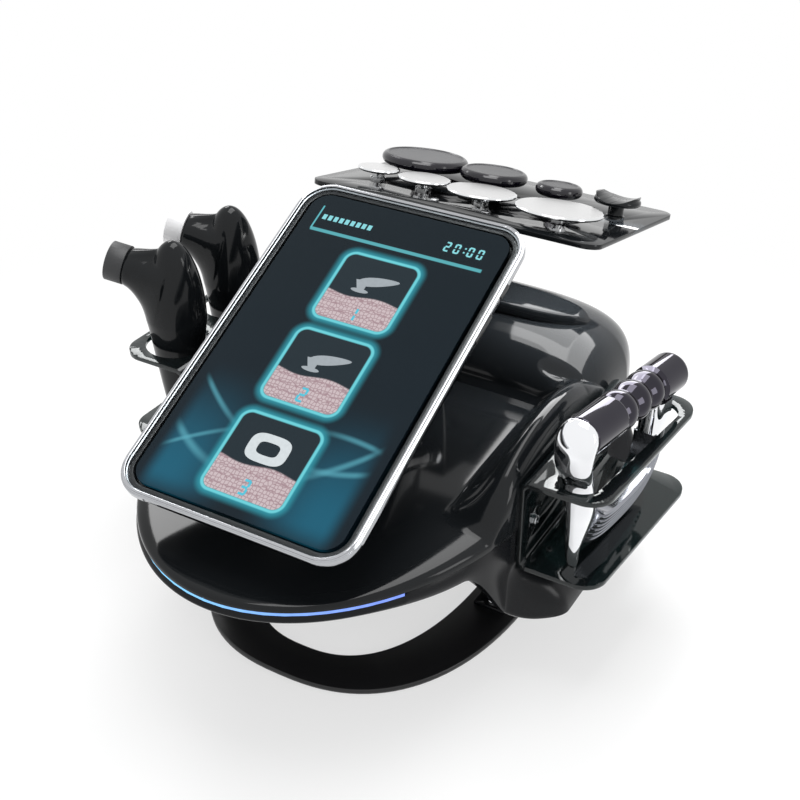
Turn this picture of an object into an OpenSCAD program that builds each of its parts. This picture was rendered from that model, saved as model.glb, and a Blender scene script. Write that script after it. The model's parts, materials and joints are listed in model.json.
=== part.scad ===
// Desktop radio frequency therapy machine with a tilting tablet, two handpieces,
// a closed loop massager and a tray of eight plug in electrodes.
// Millimetres, Z up. Lengths along Y are taken from the tablet's lower edge, X from the middle plane.

/* [Tablet] */
// Width of the tablet across its short side
tablet_w = 200; // [170:1:225]
// Length of the tablet along its long side
tablet_l = 308; // [270:1:330]
// Thickness of the tablet from glass to back
tablet_t = 15; // [12:0.5:18]
// Corner radius of the tablet
tablet_r = 27; // [15:1:40]
// Lean of the tablet from the level
tablet_lean = 25.5; // [22:0.5:27]
// Height of the tablet's lower front edge above the floor
tablet_edge_z = 188; // [184:1:196]
// Visible width of the bright frame round the glass
frame_rim = 4; // [3:0.5:7]
// Travel of the two side keys
key_travel = 0.6; // [0.4:0.1:0.8]

/* [Body] */
// Width of the body where its two halves meet
body_w = 316; // [280:1:380]
// Length of the body from its front tip to the end of its plan curve
body_l = 454; // [400:1:500]
// Depth trimmed from each side for the flat pad that carries a holder
side_pad = 5.5; // [4:0.5:9]
// Height of the seam between the lower and the upper casing
seam_z = 141; // [136:1:146]
// Rise of the deck above the seam at the front
deck_front_rise = 6; // [4:0.5:9]
// Rise of the deck above the seam at the ledge before the dome
deck_rear_rise = 24; // [20:1:28]
// Rise of the dome above the ledge
dome_rise = 60; // [50:1:70]
// Wall thickness of the casings
wall = 3; // [2.5:0.5:4]
// Height of the flat belly above the floor
belly_z = 88; // [80:1:94]
// Height of the lower lip's edge at the front
lip_z = 114; // [108:1:118]
// Reach of the side wings beyond the pads
wing_reach = 37.5; // [30:0.5:46]
// Height of the wings' lower edge above the floor
wing_z = 60; // [54:1:68]
// Highest point of the side cheeks above the seam
cheek_rise = 64; // [54:1:70]
// Depth of the finger well under the carrying handle
well_depth = 30; // [20:1:34]

/* [Light strip] */
// Height of the light strip
strip_h = 3.2; // [2.4:0.2:4.4]
// Depth of the light strip into the lip
strip_d = 4; // [3:0.5:5]
// Angle that the strip covers on each side of the front
strip_half_angle = 37.5; // [30:3.75:45]

/* [Carrying handle] */
// Length of the carrying handle across the dome
handle_l = 240; // [200:1:256]
// Width of the carrying handle from front to back
handle_w = 38; // [28:1:42]
// Thickness of the carrying handle
handle_t = 10; // [7:0.5:12]

/* [Foot] */
// Width of the foot loop
foot_w = 270; // [240:1:300]
// Length of the foot loop
foot_l = 386; // [340:1:410]
// Breadth of the loop's band
foot_band = 47; // [40:1:54]
// Thickness of the foot plate
foot_t = 5; // [4:0.5:7]
// Thickness of the rubber pads under the foot plate
pad_t = 2; // [1.5:0.5:3]

/* [Holders] */
// Thickness of the bent holder sheet
sheet_t = 4; // [3:0.5:5]
// Length of a holder from front to back
holder_l = 168; // [150:1:185]
// Reach of the left holder's shelves at their front end
left_near = 68; // [64:1:74]
// Reach of the left holder's shelves at their rear end
left_far = 64; // [62:1:72]
// Reach of the right holder's shelves at their front end
right_near = 65; // [62:1:72]
// Reach of the right holder's shelves at their rear end
right_far = 78; // [70:1:84]
// Height of the lower shelf's top above the floor
shelf_low_z = 107; // [104:1:112]
// Height of the upper shelf's top above the floor
shelf_high_z = 183; // [176:1:190]
// Diameter of the holes that take the handpieces
cup_d = 53; // [50:0.5:55]
// Distance between the two handpiece holes
cup_pitch = 79; // [72:1:84]
// Width of the slot that takes the massager
slot_w = 34; // [33:0.5:40]
// Length of the slot that takes the massager
slot_l = 150; // [146:1:152]

/* [Handpieces] */
// Height of a handpiece from the end of its handle to the top of its head
hand_h = 171; // [160:1:185]
// Height of the widest place of the head
hand_wide_h = 100; // [90:1:112]
// Largest radius of the head
head_r = 25.5; // [22:0.5:27]
// Radius at the end of the handle
grip_end_r = 10.5; // [10:0.5:14]
// Height at which the nozzle's axis leaves the handle's axis
nozzle_h = 136; // [125:1:142]
// Radius of the nozzle
nozzle_r = 16.5; // [14:0.5:18]
// Reach of the nozzle's tip along its own axis
nozzle_reach = 53; // [46:1:62]
// Length of the collar at the nozzle's tip
collar_l = 15; // [12:0.5:18]
// Upward lean of the nozzle from the level
nozzle_lean = 13; // [0:1:18]
// Turn of the nozzles towards the front
hand_turn = 18; // [0:1:30]

/* [Massager] */
// Length of the massager along its loop
loop_l = 142; // [130:1:143]
// Height of the massager from its tip to the middle of the grip
loop_h = 112; // [100:1:124]
// Radius of the massager's grip
loop_grip_r = 16; // [13:0.5:17]
// Depth by which the finger grooves cut the grip
finger_depth = 2.5; // [1:0.25:4]

/* [Tray] */
// Width of the electrode tray
tray_w = 266; // [260:1:300]
// Depth of the electrode tray
tray_l = 190; // [155:1:205]
// Thickness of the electrode tray
tray_t = 4; // [3:0.5:6]
// Corner radius of the electrode tray
tray_r = 14; // [6:1:25]
// Downward tilt of the tray towards the back
tray_tilt = 13.5; // [10:0.5:16]
// Distance of the tray's near edge behind the tablet's lower edge
tray_y = 320; // [314:1:330]
// Height of the tray's near edge above the floor
tray_z = 297; // [290:1:310]

/* [Electrodes] */
// Diameter of an electrode's stem in the tray
stem_d = 8; // [6:0.5:10]
// Radial clearance of a stem in its hole
stem_fit = 0.08; // [0.02:0.01:0.1]
// Height of the bare discs' faces above the tray
bare_h = 13; // [12:0.5:16]
// Height of the coated discs' faces above the tray
coated_h = 20; // [18:0.5:24]

/* [Rear panel] */
// Thickness of the rear panel
panel_t = 2.5; // [2:0.5:4]
// Diameter of the three output sockets
socket_d = 18; // [16:1:20]
// Bore of the three output sockets
socket_bore = 10; // [8:0.5:11]

/* [Hinge] */
// Depth of the tilt axis behind the tablet's lower edge
hinge_y = 224; // [218:1:230]
// Height of the tilt axis above the floor
hinge_z = 202; // [198:1:206]
// Diameter of the hinge pin
pin_d = 8; // [6:0.5:10]
// Distance of each support arm from the middle plane
arm_x = 37; // [34:1:40]
// Radius of the support arms
arm_r = 10; // [9:0.5:11]

/* [Hidden] */
$fn = 64;

// Gap between a piece and the seat that it rests on
seat = 0.3;
// Radial gap of a running fit
run_fit = 0.06;
// Plan of the body
body_mid_y = 205;
half_w = body_w / 2;
half_l = body_l / 2;
pad_x = half_w - side_pad;
rear_y = body_mid_y + half_l - 12;
lip_bulge = 2.5;
front_power = 2;
rear_power = 5;
arch_power = 4;
front_roll = 5;
rear_roll = 3.2;
ledge_step = 1.5;
ledge_y = 283;
ridge_y = 350;
steps_round = 96;
steps_arch = 28;

function clamp01(v) = min(1, max(0, v));
function smooth(v) = let (c = clamp01(v)) c * c * (3 - 2 * c);
function mix(a, b, f) = a + (b - a) * f;
function root_of(v, power) = pow(max(0, 1 - pow(min(1, abs(v)), power)), 1 / power);
function signed_pow(v, power) = sign(v) * pow(abs(v), power);

// Half width of the body's plan at depth y
function plan_half(y) = let (p = y < body_mid_y ? front_power : rear_power)
  min(pad_x, half_w * root_of((y - body_mid_y) / half_l, p));

// Point of the body's plan in direction t from its middle, moved out by d
function plan_point(t, d = 0) = let (
    p = sin(t) < 0 ? front_power : rear_power,
    r = 1 / pow(pow(abs(cos(t)) / half_w, p) + pow(abs(sin(t)) / half_l, p), 1 / p) + d,
    x = r * cos(t),
    y = body_mid_y + r * sin(t)
  ) [sign(x) * min(abs(x), pad_x + d), min(y, rear_y + d)];

// Centre line height of the deck and the dome
function deck_z(y) = seam_z + mix(deck_front_rise, deck_rear_rise, clamp01(y / ledge_y));
function dome_part(y) = let (u = (y - ledge_y) / (ridge_y - ledge_y))
  u <= 0 ? 0 : u < 1 ? ledge_step + (dome_rise - ledge_step) * pow(1 - pow(1 - u, 2.2), 1 / 1.9) : dome_rise;
function top_z(y, inset) = let (
    full = deck_z(y) + dome_part(y - inset) - seam_z,
    roll = root_of((y - body_mid_y) / (half_l - inset), y < body_mid_y ? front_roll : rear_roll)
  ) seam_z + max(0.5, full * roll - inset);

// Height above the seam of the cheek that arches over each holder, and its share across the width
function cheek(y) = let (u = (y - 228) / 104) abs(u) >= 1 ? 0 : cheek_rise * sqrt(1 - u * u);
function cheek_share(x, w) = smooth((abs(x) - (w - 47)) / 36);

// Finger well in the top of the dome
function well(x, y) = well_depth * (1 - smooth((abs(x) - 52) / 34)) * (1 - smooth((abs(y - 359) - 8) / 22));

// One point of the upper casing's arch at depth y, for arch angle a
function arch_point(y, a, inset) = let (
    w = max(1, plan_half(y) - inset),
    up = top_z(y, inset) - seam_z,
    x = w * signed_pow(cos(a), 2 / arch_power),
    lift = up * pow(max(0, sin(a)), 2 / arch_power),
    edge = min(1, 1.3 * pow(max(0, sin(a)), 1 / 3)),
    side = inset > 0 ? 0 : max(0, cheek(y) - lift) * cheek_share(x, w) * edge
  ) [x, y, seam_z + max(0, lift + side - (a > 0 && a < 180 ? well(x, y) : 0))];

// Depths at which the arch is drawn, close together where the form turns
arch_depths = concat(
  [for (a = [7 : 7 : 84]) body_mid_y - half_l * cos(a)],
  [for (i = [0 : 7]) 192 + i * 13],
  [for (v = [0, 0.03, 0.09, 0.18, 0.3, 0.43, 0.57, 0.7, 0.82, 0.91, 1]) mix(ledge_y + 1.5, ridge_y, v)],
  [for (i = [1 : 7]) mix(ridge_y, rear_y, i / 7)]
);

// Strip of faces between two rows of points that start at a and b, with n steps
function strip(a, b, n) = [for (i = [0 : n - 1]) [a + i, a + i + 1, b + i + 1, b + i]];
function flip(faces) = [for (f = faces) [for (i = [len(f) - 1 : -1 : 0]) f[i]]];

// Closed shell from an outer and an inner row of arches, open at the seam and at the rear
module arch_shell(depths, thick) {
  n = steps_arch;
  row = n + 1;
  rows = len(depths);
  function inner_depth(j) = j == 0 ? depths[0] + thick : j == rows - 1 ? depths[j]
    : max(depths[j], depths[0] + thick + j * 0.4);
  outer_points = [for (j = [0 : rows - 1], i = [0 : n]) arch_point(depths[j], 180 * i / n, 0)];
  inner_points = [for (j = [0 : rows - 1], i = [0 : n]) arch_point(inner_depth(j), 180 * i / n, thick)];
  base = rows * row;
  outer_faces = [for (j = [0 : rows - 2]) each strip(j * row, (j + 1) * row, n)];
  inner_faces = [for (j = [0 : rows - 2]) each flip(strip(base + j * row, base + (j + 1) * row, n))];
  front_cap = [[for (i = [0 : n]) n - i], [for (i = [0 : n]) base + i]];
  front_sill = [[n, 0, base, base + n]];
  right_sill = [for (j = [0 : rows - 2]) [j * row, (j + 1) * row, base + (j + 1) * row, base + j * row]];
  left_sill = [for (j = [0 : rows - 2])
    [(j + 1) * row + n, j * row + n, base + j * row + n, base + (j + 1) * row + n]];
  last = (rows - 1) * row;
  rear_band = [for (i = [0 : n - 1]) [last + i, last + i + 1, base + last + i + 1, base + last + i]];
  polyhedron(
    points = concat(outer_points, inner_points),
    faces = concat(outer_faces, inner_faces, front_cap, front_sill, right_sill, left_sill, rear_band),
    convexity = 8
  );
}

// Shares of the wing at depth y, of its drop and of its reach outwards
function wing_fade(y) = 1 - smooth((y - 330) / 60);
function wing_drop(y) = smooth((y - 96) / 62) * wing_fade(y);
function wing(y) = sin(90 * clamp01((y - 146) / 34)) * wing_fade(y);

function beside_pad(y) = smooth((y - 120) / 30) * (1 - smooth((y - 330) / 30));
function low_edge_z(y) = lip_z + 11 * smooth((y - 20) / 75) - 16 * smooth((y - 340) / 50)
  - (lip_z + 11 - wing_z) * wing_drop(y);

// Depth and height of the groove under the seam, deep along the light strip
function on_strip(t) = cos(t + 90) > cos(strip_half_angle + 0.1);
function groove_d(t) = on_strip(t) ? strip_d + 0.2 : 0.8;
function groove_h(t) = on_strip(t) ? strip_h + 0.4 : 1;

// Outer ring of the side wall at share f from the groove down to the lower edge
function side_point(t, f, dz = 0) = let (
    p = plan_point(t),
    q = plan_point(t, lip_bulge * sin(150 * f) * (1 - beside_pad(p[1]))),
    z = mix(seam_z - groove_h(t), low_edge_z(q[1]), f),
    flare = f < 0.42 ? 0 : sin(90 * (f - 0.42) / 0.58)
  ) [q[0] + sign(q[0]) * wing_reach * wing(q[1]) * flare, q[1], z + dz];

// Ring under the body at share s of its plan and share f of the way down to the belly
function under_point(t, s, f, reach, lift) = let (
    q = plan_point(t),
    x = q[0] * s + sign(q[0]) * wing_reach * wing(q[1]) * reach,
    y = body_mid_y + (q[1] - body_mid_y) * s
  ) [x, y, mix(low_edge_z(q[1]), belly_z, f) + lift];

function inner_side(t, z) = let (q = plan_point(t, -strip_d - wall - 1)) [q[0], q[1], z];
function inner_floor_z(y) = max(low_edge_z(y), belly_z + 4) + wall;
function inner_low(t, s, f) = let (
    q = plan_point(t, -strip_d - wall - 1)
  ) [q[0] * s, body_mid_y + (q[1] - body_mid_y) * s, mix(inner_floor_z(q[1]), belly_z + wall, f)];

// Closed shell from a stack of rings
module ring_shell(rings) {
  n = steps_round;
  points = [for (ring = rings) each ring];
  sides = [for (j = [0 : len(rings) - 2], i = [0 : n - 1])
    [j * n + i, j * n + (i + 1) % n, (j + 1) * n + (i + 1) % n, (j + 1) * n + i]];
  first_cap = [[for (i = [0 : n - 1]) n - 1 - i]];
  last_cap = [[for (i = [0 : n - 1]) (len(rings) - 1) * n + i]];
  polyhedron(points = points, faces = flip(concat(sides, first_cap, last_cap)), convexity = 8);
}

function ring_angles() = [for (i = [0 : steps_round - 1]) -90 - i * 360 / steps_round];

// Plate with rounded corners, lower left corner given
module rounded_slab(w, l, r, t) {
  linear_extrude(t) {
    translate([-w / 2 + r, 0]) square([w - 2 * r, l]);
    translate([-w / 2, r]) square([w, l - 2 * r]);
    for (x = [-w / 2 + r, w / 2 - r], y = [r, l - r]) translate([x, y]) circle(r);
  }
}

// Pan head screw that points down, its head's underside at zero
module pan_screw(d, l) {
  translate([0, 0, -l]) cylinder(d = d, h = l);
  rotate_extrude() polygon([
    [0, 0], [d, 0], [d, d * 0.25],
    for (a = [20 : 20 : 80]) [d * cos(a), d * (0.25 + 0.35 * sin(a))],
    [d * 0.3, d * 0.6], [d * 0.3, d * 0.3], [0, d * 0.3]
  ]);
}

// Foot

foot_mid_y = 250;
foot_top = pad_t + foot_t;
leg_l = 104;
leg_foot_x = 110;
leg_foot_w = 28;
leg_top_x = min(93, pad_x * 0.6);
leg_top_w = 30;
flange_t = 3;
flange_l = leg_l + 36;
leg_screw_y = flange_l / 2 - 8;

function loop_edge(t, a, b) = [a * signed_pow(cos(t), 0.8), foot_mid_y + b * signed_pow(sin(t), 0.8)];

module foot_loop() {
  color("#17181a")
  translate([0, 0, pad_t])
  linear_extrude(foot_t)
  difference() {
    polygon([for (i = [0 : 119]) loop_edge(i * 3, foot_w / 2, foot_l / 2)]);
    polygon([for (i = [0 : 119]) loop_edge(i * 3, foot_w / 2 - foot_band, foot_l / 2 - foot_band * 0.74)]);
  }
}

module foot_pads() {
  mid_band = foot_band / 2;
  color("#0c0c0d")
  for (t = [35, 145, 215, 325]) {
    p = loop_edge(t, foot_w / 2 - mid_band, foot_l / 2 - mid_band * 0.8);
    translate([p[0], p[1], 0]) cylinder(r = 11, h = pad_t);
  }
  color("#0c0c0d")
  for (y = [foot_mid_y - foot_l / 2 + 18, foot_mid_y + foot_l / 2 - 18]) {
    translate([0, y, 0]) cylinder(r = 9, h = pad_t);
  }
}

module support_legs() {
  color("#141517")
  for (side = [-1, 1]) scale([side, 1, 1]) difference() {
    union() {
      translate([0, foot_mid_y + 25 + leg_l / 2, 0]) rotate([90, 0, 0]) linear_extrude(leg_l) polygon([
        [leg_foot_x - leg_foot_w / 2, foot_top + flange_t - 0.5],
        [leg_foot_x + leg_foot_w / 2, foot_top + flange_t - 0.5],
        [leg_top_x + leg_top_w / 2, belly_z],
        [leg_top_x - leg_top_w / 2, belly_z]
      ]);
      translate([leg_foot_x - leg_foot_w / 2, foot_mid_y + 25 - flange_l / 2, foot_top])
        cube([leg_foot_w, flange_l, flange_t]);
    }
    for (end = [-1, 1]) translate([leg_foot_x, foot_mid_y + 25 + end * leg_screw_y, 0])
      cylinder(d = 4.1, h = 40);
  }
}

module leg_screws() {
  color("#8c9094")
  for (side = [-1, 1], end = [-1, 1])
    translate([side * leg_foot_x, foot_mid_y + 25 + end * leg_screw_y, foot_top + flange_t])
    pan_screw(4, flange_t);
}

// Casings

module lower_casing() {
  ts = ring_angles();
  color("#101113")
  ring_shell([
    [for (t = ts) inner_low(t, 0.72, 1)],
    [for (t = ts) inner_low(t, 0.85, 0.6)],
    [for (t = ts) inner_low(t, 1, 0)],
    [for (t = ts) inner_side(t, seam_z)],
    [for (t = ts) let (q = plan_point(t, -groove_d(t))) [q[0], q[1], seam_z]],
    [for (t = ts) let (q = plan_point(t, -groove_d(t))) [q[0], q[1], seam_z - groove_h(t)]],
    for (f = [0, 0.22, 0.42, 0.52, 0.63, 0.75, 0.88, 1]) [for (t = ts) side_point(t, f)],
    [for (t = ts) under_point(t, 0.975, 0, 0.97, -2.5)],
    [for (t = ts) under_point(t, 0.94, 0, 0.9, -2)],
    [for (t = ts) under_point(t, 0.86, 0.6, 0.35, 0)],
    [for (t = ts) under_point(t, 0.74, 1, 0, 0)]
  ]);
}

module upper_casing() {
  color("#0d0e10")
  arch_shell(arch_depths, wall);
}

module light_strip() {
  a = strip_half_angle;
  color("#5aa9ff")
  translate([0, 0, seam_z - strip_h - 0.2])
  linear_extrude(strip_h)
  polygon(concat(
    [for (i = [0 : 20]) plan_point(-90 - a + i * a / 10, 0.3)],
    [for (i = [20 : -1 : 0]) plan_point(-90 - a + i * a / 10, -strip_d + 1.7)]
  ));
}

module led_board() {
  a = strip_half_angle - 1;
  color("#e8e6dc")
  translate([0, 0, seam_z - strip_h - 0.2])
  linear_extrude(strip_h - 0.4)
  polygon(concat(
    [for (i = [0 : 20]) plan_point(-90 - a + i * a / 10, -strip_d + 1.5)],
    [for (i = [20 : -1 : 0]) plan_point(-90 - a + i * a / 10, -strip_d + 0.4)]
  ));
}

// Carrying handle that follows the ridge of the dome

handle_rear_y = ridge_y + 5;

function ridge_at(x) = max([for (y = [ridge_y - 33 : 3 : ridge_y]) arch_height(x, y)]);
function arch_height(x, y) = let (w = plan_half(y))
  seam_z + (top_z(y, 0) - seam_z) * root_of(x / w, arch_power);
function lens_y(x) = handle_rear_y - handle_w * pow(max(0, 1 - pow(abs(x) / (handle_l / 2), 4)), 0.5);

module carry_handle() {
  half = handle_l / 2;
  low = seat + 0.4;
  color("#0e0f11")
  difference() {
    intersection() {
      translate([0, handle_rear_y, 0]) rotate([90, 0, 0]) linear_extrude(handle_w + 1) polygon(concat(
        [for (i = [-16 : 16]) let (x = half * i / 16) [x, ridge_at(x) + low]],
        [for (i = [16 : -1 : -16]) let (x = half * i / 16)
          [x, ridge_at(x) + low + handle_t * pow(max(0.02, 1 - pow(abs(i) / 16, 10)), 0.5)]]
      ));
      linear_extrude(400) polygon(concat(
        [for (i = [-20 : 20]) let (x = half * i / 20) [x, lens_y(x)]],
        [[half, handle_rear_y + 1], [-half, handle_rear_y + 1]]
      ));
    }
    for (side = [-1, 1]) translate([side * handle_screw_x, handle_screw_y, 100]) cylinder(d = 4.1, h = 200);
    for (side = [-1, 1]) translate([side * handle_screw_x, handle_screw_y, handle_screw_z - 0.05])
      cylinder(d = 9, h = 40);
  }
}

handle_screw_x = 100;
handle_screw_y = ridge_y - 6;
handle_screw_z = ridge_at(handle_screw_x) + seat + handle_t * 0.55;

module handle_screws() {
  color("#8c9094")
  for (side = [-1, 1]) translate([side * handle_screw_x, handle_screw_y, handle_screw_z])
    pan_screw(4, handle_t * 0.4);
}

// Holders

holder_y = 157;
holder_x = pad_x + seat;
bend_r = 8;
shelf_r = 20;
cup_x = holder_x + 34.2;
cup_y = holder_y + 35.5;

module holder_profile(w) {
  h = shelf_high_z - shelf_low_z + sheet_t;
  ri = bend_r - sheet_t;
  translate([0, shelf_low_z - sheet_t]) {
    translate([0, bend_r]) square([sheet_t, h - 2 * bend_r]);
    translate([bend_r, 0]) square([w - bend_r, sheet_t]);
    translate([bend_r, h - sheet_t]) square([w - bend_r, sheet_t]);
    for (end = [0, 1]) intersection() {
      translate([0, end * (h - bend_r)]) square(bend_r);
      translate([bend_r, end == 0 ? bend_r : h - bend_r]) difference() {
        circle(bend_r);
        circle(ri);
      }
    }
  }
}

screw_spots = [[holder_y + 24, 134], [holder_y + holder_l - 30, 134], [holder_y + 70, 168]];

// Plan of a shelf whose outer edge runs from one reach to another, with two rounded corners
module shelf_plan(near, far) {
  r = shelf_r;
  turn = atan((far - near) / holder_l);
  c1 = [near - r * (1 - sin(turn)) / cos(turn), r];
  c2 = [near + ((holder_l - r) * sin(turn) - r) / cos(turn), holder_l - r];
  edge = [cos(turn), -sin(turn)] * r;
  polygon([[0, 0], [c1[0], 0], c1 + edge, c2 + edge, [c2[0], holder_l], [0, holder_l]]);
  for (c = [c1, c2]) translate(c) circle(r);
}

module holder_blank(near, far) {
  difference() {
    intersection() {
      translate([holder_x, holder_y + holder_l, 0]) rotate([90, 0, 0]) linear_extrude(holder_l)
        holder_profile(max(near, far) + 1);
      translate([holder_x, holder_y, 0]) linear_extrude(300) shelf_plan(near, far);
    }
    for (p = screw_spots) translate([holder_x - 1, p[0], p[1]]) rotate([0, 90, 0]) cylinder(d = 4.1, h = sheet_t + 2);
  }
}

module left_holder() {
  color([0.10, 0.14, 0.15, 0.8])
  difference() {
    scale([-1, 1, 1]) holder_blank(left_near, left_far);
    for (i = [0, 1]) translate([-cup_x, cup_y + i * cup_pitch, shelf_high_z - sheet_t - 1])
      cylinder(d = cup_d, h = sheet_t + 2);
  }
}

module right_holder() {
  color([0.10, 0.14, 0.15, 0.8])
  difference() {
    holder_blank(right_near, right_far);
    translate([loop_x, loop_y, shelf_high_z - sheet_t - 1]) rotate([0, 0, -loop_yaw])
      translate([0, (loop_l - slot_l) / 2, 0]) rounded_slab(slot_w, slot_l, slot_w / 2 - 0.5, sheet_t + 2);
  }
}

module holder_screws() {
  color("#9a9da1")
  for (side = [-1, 1], p = screw_spots)
    translate([side * (holder_x + sheet_t), p[0], p[1]]) rotate([0, side * 90, 0]) pan_screw(4, sheet_t);
}

// Electrode tray

bracket_w = 60;
bracket_t = 3;
web_y = 268;
bracket_rise = 262;
tray_screw_y = 26;

module tray_frame() {
  translate([0, tray_y, tray_z]) rotate([-tray_tilt, 0, 0]) children();
}

module tray_bracket() {
  under = -tray_t - bracket_t;
  c = cos(tray_tilt);
  s = sin(tray_tilt);
  base_z = deck_z(web_y) + seat;
  // Start and end of the flange under the tray, as depth and height
  y0 = tray_y + 8 * c - under * -s;
  z0 = tray_z - 8 * s + under * c;
  y1 = tray_y + 58 * c - under * -s;
  z1 = tray_z - 58 * s + under * c;
  color("#131416")
  difference() {
    translate([-bracket_w / 2, 0, 0]) rotate([90, 0, 90]) linear_extrude(bracket_w) polygon([
      [web_y - 28, base_z - 28 * 0.0636], [web_y, base_z], [web_y, bracket_rise], [y0, z0], [y1, z1],
      [y1 + bracket_t * s, z1 + bracket_t * c - 0.02], [y0 + bracket_t * s, z0 + bracket_t * c - 0.02],
      [web_y - bracket_t, bracket_rise + 3], [web_y - bracket_t, base_z + bracket_t - 0.2],
      [web_y - 28, base_z + bracket_t - 28 * 0.0636]
    ]);
    for (x = [-20, 20]) translate([x, web_y - 17, base_z - 10]) cylinder(d = 4.2, h = 20);
    tray_frame() for (x = [-24, 24]) translate([x, tray_screw_y, -20]) cylinder(d = 4.2, h = 40);
  }
}

bare_x = [-91, -46, 9, 80];
bare_r = [18.5, 23, 30, 37];
bare_y = 46;
coated_x = [-78, -9, 53.5, 107];
coated_r = [39, 30, 20.5, 20];
coated_y = 106;

module tray_plate() {
  color([0.07, 0.075, 0.08, 0.85])
  tray_frame() difference() {
    translate([0, 0, -tray_t]) rounded_slab(tray_w, tray_l, tray_r, tray_t);
    for (x = bare_x) translate([x, bare_y, -10]) cylinder(r = stem_d / 2 + stem_fit, h = 20);
    for (x = coated_x) translate([x, coated_y, -10]) cylinder(r = stem_d / 2 + stem_fit, h = 20);
    for (x = [-24, 24]) translate([x, tray_screw_y, -10]) cylinder(d = 4.2, h = 20);
  }
}

module tray_screws() {
  color("#9a9da1")
  tray_frame() for (x = [-24, 24]) translate([x, tray_screw_y, 0]) pan_screw(4, tray_t + bracket_t);
  color("#9a9da1")
  for (x = [-20, 20]) translate([x, web_y - 17, deck_z(web_y) + 2 * seat + bracket_t - 17 * 0.0636])
    pan_screw(4, bracket_t - seat);
}

module electrode(x, y) {
  tray_frame() translate([x, y, seat]) children();
}

// Round steel electrode with a thin rim and a stepped stem
module bare_disc(r) {
  t = 3;
  color("#d5d8da")
  rotate_extrude($fn = 96) polygon([
    [0, -tray_t], [stem_d / 2 - 1, -tray_t], [stem_d / 2, -tray_t + 1], [stem_d / 2, 0], [7, 0], [7, 4],
    [5.5, 4.8], [5.5, bare_h - t - 1.2], [8, bare_h - t], [r - 1.2, bare_h - t],
    for (a = [-60 : 30 : 90]) [r - 1.4 + 1.4 * cos(a), bare_h - 1.4 + 1.4 * sin(a)],
    [0, bare_h + 0.3]
  ]);
}

// Round electrode with a thick insulated rim
module coated_disc(r) {
  t = 10;
  rim = t / 2;
  color("#1a1b20")
  rotate_extrude($fn = 96) polygon([
    [0, -tray_t], [stem_d / 2 - 1, -tray_t], [stem_d / 2, -tray_t + 1], [stem_d / 2, 0], [8, 0], [8, 4],
    [6.5, 5], [6.5, coated_h - t - 1], [9, coated_h - t],
    for (a = [-90 : 20 : 90]) [r - rim + rim * cos(a), coated_h - rim + rim * sin(a)],
    [r - rim - 1, coated_h - 0.8], [0, coated_h - 0.8]
  ]);
}

// Electrode with a hollowed face for the limbs
module saddle_disc(r) {
  color("#1a1b20")
  difference() {
    union() {
      rotate_extrude() polygon([
        [0, -tray_t], [stem_d / 2 - 1, -tray_t], [stem_d / 2, -tray_t + 1], [stem_d / 2, 0], [8, 0],
        [8, 4], [6.5, 5], [6.5, coated_h - 6], [9, coated_h - 4], [0, coated_h - 4]
      ]);
      translate([0, 0, coated_h - 6]) rotate_extrude() polygon([
        [0, 0], [r - 3, 0], for (a = [-60 : 30 : 60]) [r - 3 + 3 * cos(a), 3 + 3 * sin(a)], [r - 1, 8], [0, 8]
      ]);
    }
    translate([0, r + 5, coated_h + 27]) rotate([90, 0, 0]) cylinder(r = 30, h = 2 * r + 10, $fn = 96);
  }
}

// Tilt hinge and its support arms

arm_lean = 32;
arm_gap = 1;
lug_t = 6;
hinge_foot_t = 4;
foot_slope = atan((deck_rear_rise - deck_front_rise) / ledge_y);
hinge_foot_y = 146;

module deck_frame(y) {
  translate([0, y, deck_z(y) + seat + 0.2]) rotate([foot_slope, 0, 0]) children();
}

module hinge_foot() {
  color("#121315")
  deck_frame(hinge_foot_y) difference() {
    translate([0, -26, 0]) rounded_slab(2 * arm_x + 2 * arm_r + 14, 56, 12, hinge_foot_t);
    for (x = [-14, 14]) translate([x, 2, -1]) cylinder(d = 4.1, h = 10);
  }
}

module support_arms() {
  length = (hinge_z - deck_z(hinge_foot_y)) / sin(arm_lean);
  color("#1c1d20")
  difference() {
    for (side = [-1, 1])
      translate([side * arm_x, hinge_y, hinge_z]) rotate([arm_lean - 90, 0, 0]) rotate_extrude() polygon([
        [0, -length - 30], [arm_r + 5, -length - 30], [arm_r + 5, -length + 4], [arm_r + 1, -length * 0.55],
        [arm_r, -length * 0.4], [arm_r, -16], [arm_r - 0.8, -15.2], [arm_r - 0.8, -14.4], [arm_r, -13.6],
        [arm_r, -10], [arm_r - 0.8, -9.2], [arm_r - 0.8, -8.4], [arm_r, -7.6], [arm_r, 4],
        for (a = [15 : 15 : 75]) [arm_r * cos(a), 4 + arm_r * 0.8 * sin(a)],
        [0, 4 + arm_r * 0.8]
      ]);
    deck_frame(hinge_foot_y) translate([-200, -200, -200 + hinge_foot_t]) cube([400, 400, 200]);
    translate([-100, hinge_y, hinge_z]) rotate([0, 90, 0]) cylinder(d = pin_d + 0.04, h = 200);
  }
}

module hinge_pin() {
  end_x = arm_x + arm_r + 1.5;
  color("#a7abb0")
  translate([-end_x, hinge_y, hinge_z]) rotate([0, 90, 0]) cylinder(d = pin_d, h = 2 * end_x);
}

// Tablet

key_y = [214, 250];
key_l = [26, 13];
bezel_t = 9;
lug_x = arm_x - arm_r - arm_gap - lug_t / 2;

module tablet_space() {
  translate([0, 0, tablet_edge_z]) rotate([tablet_lean, 0, 0]) children();
}

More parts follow.
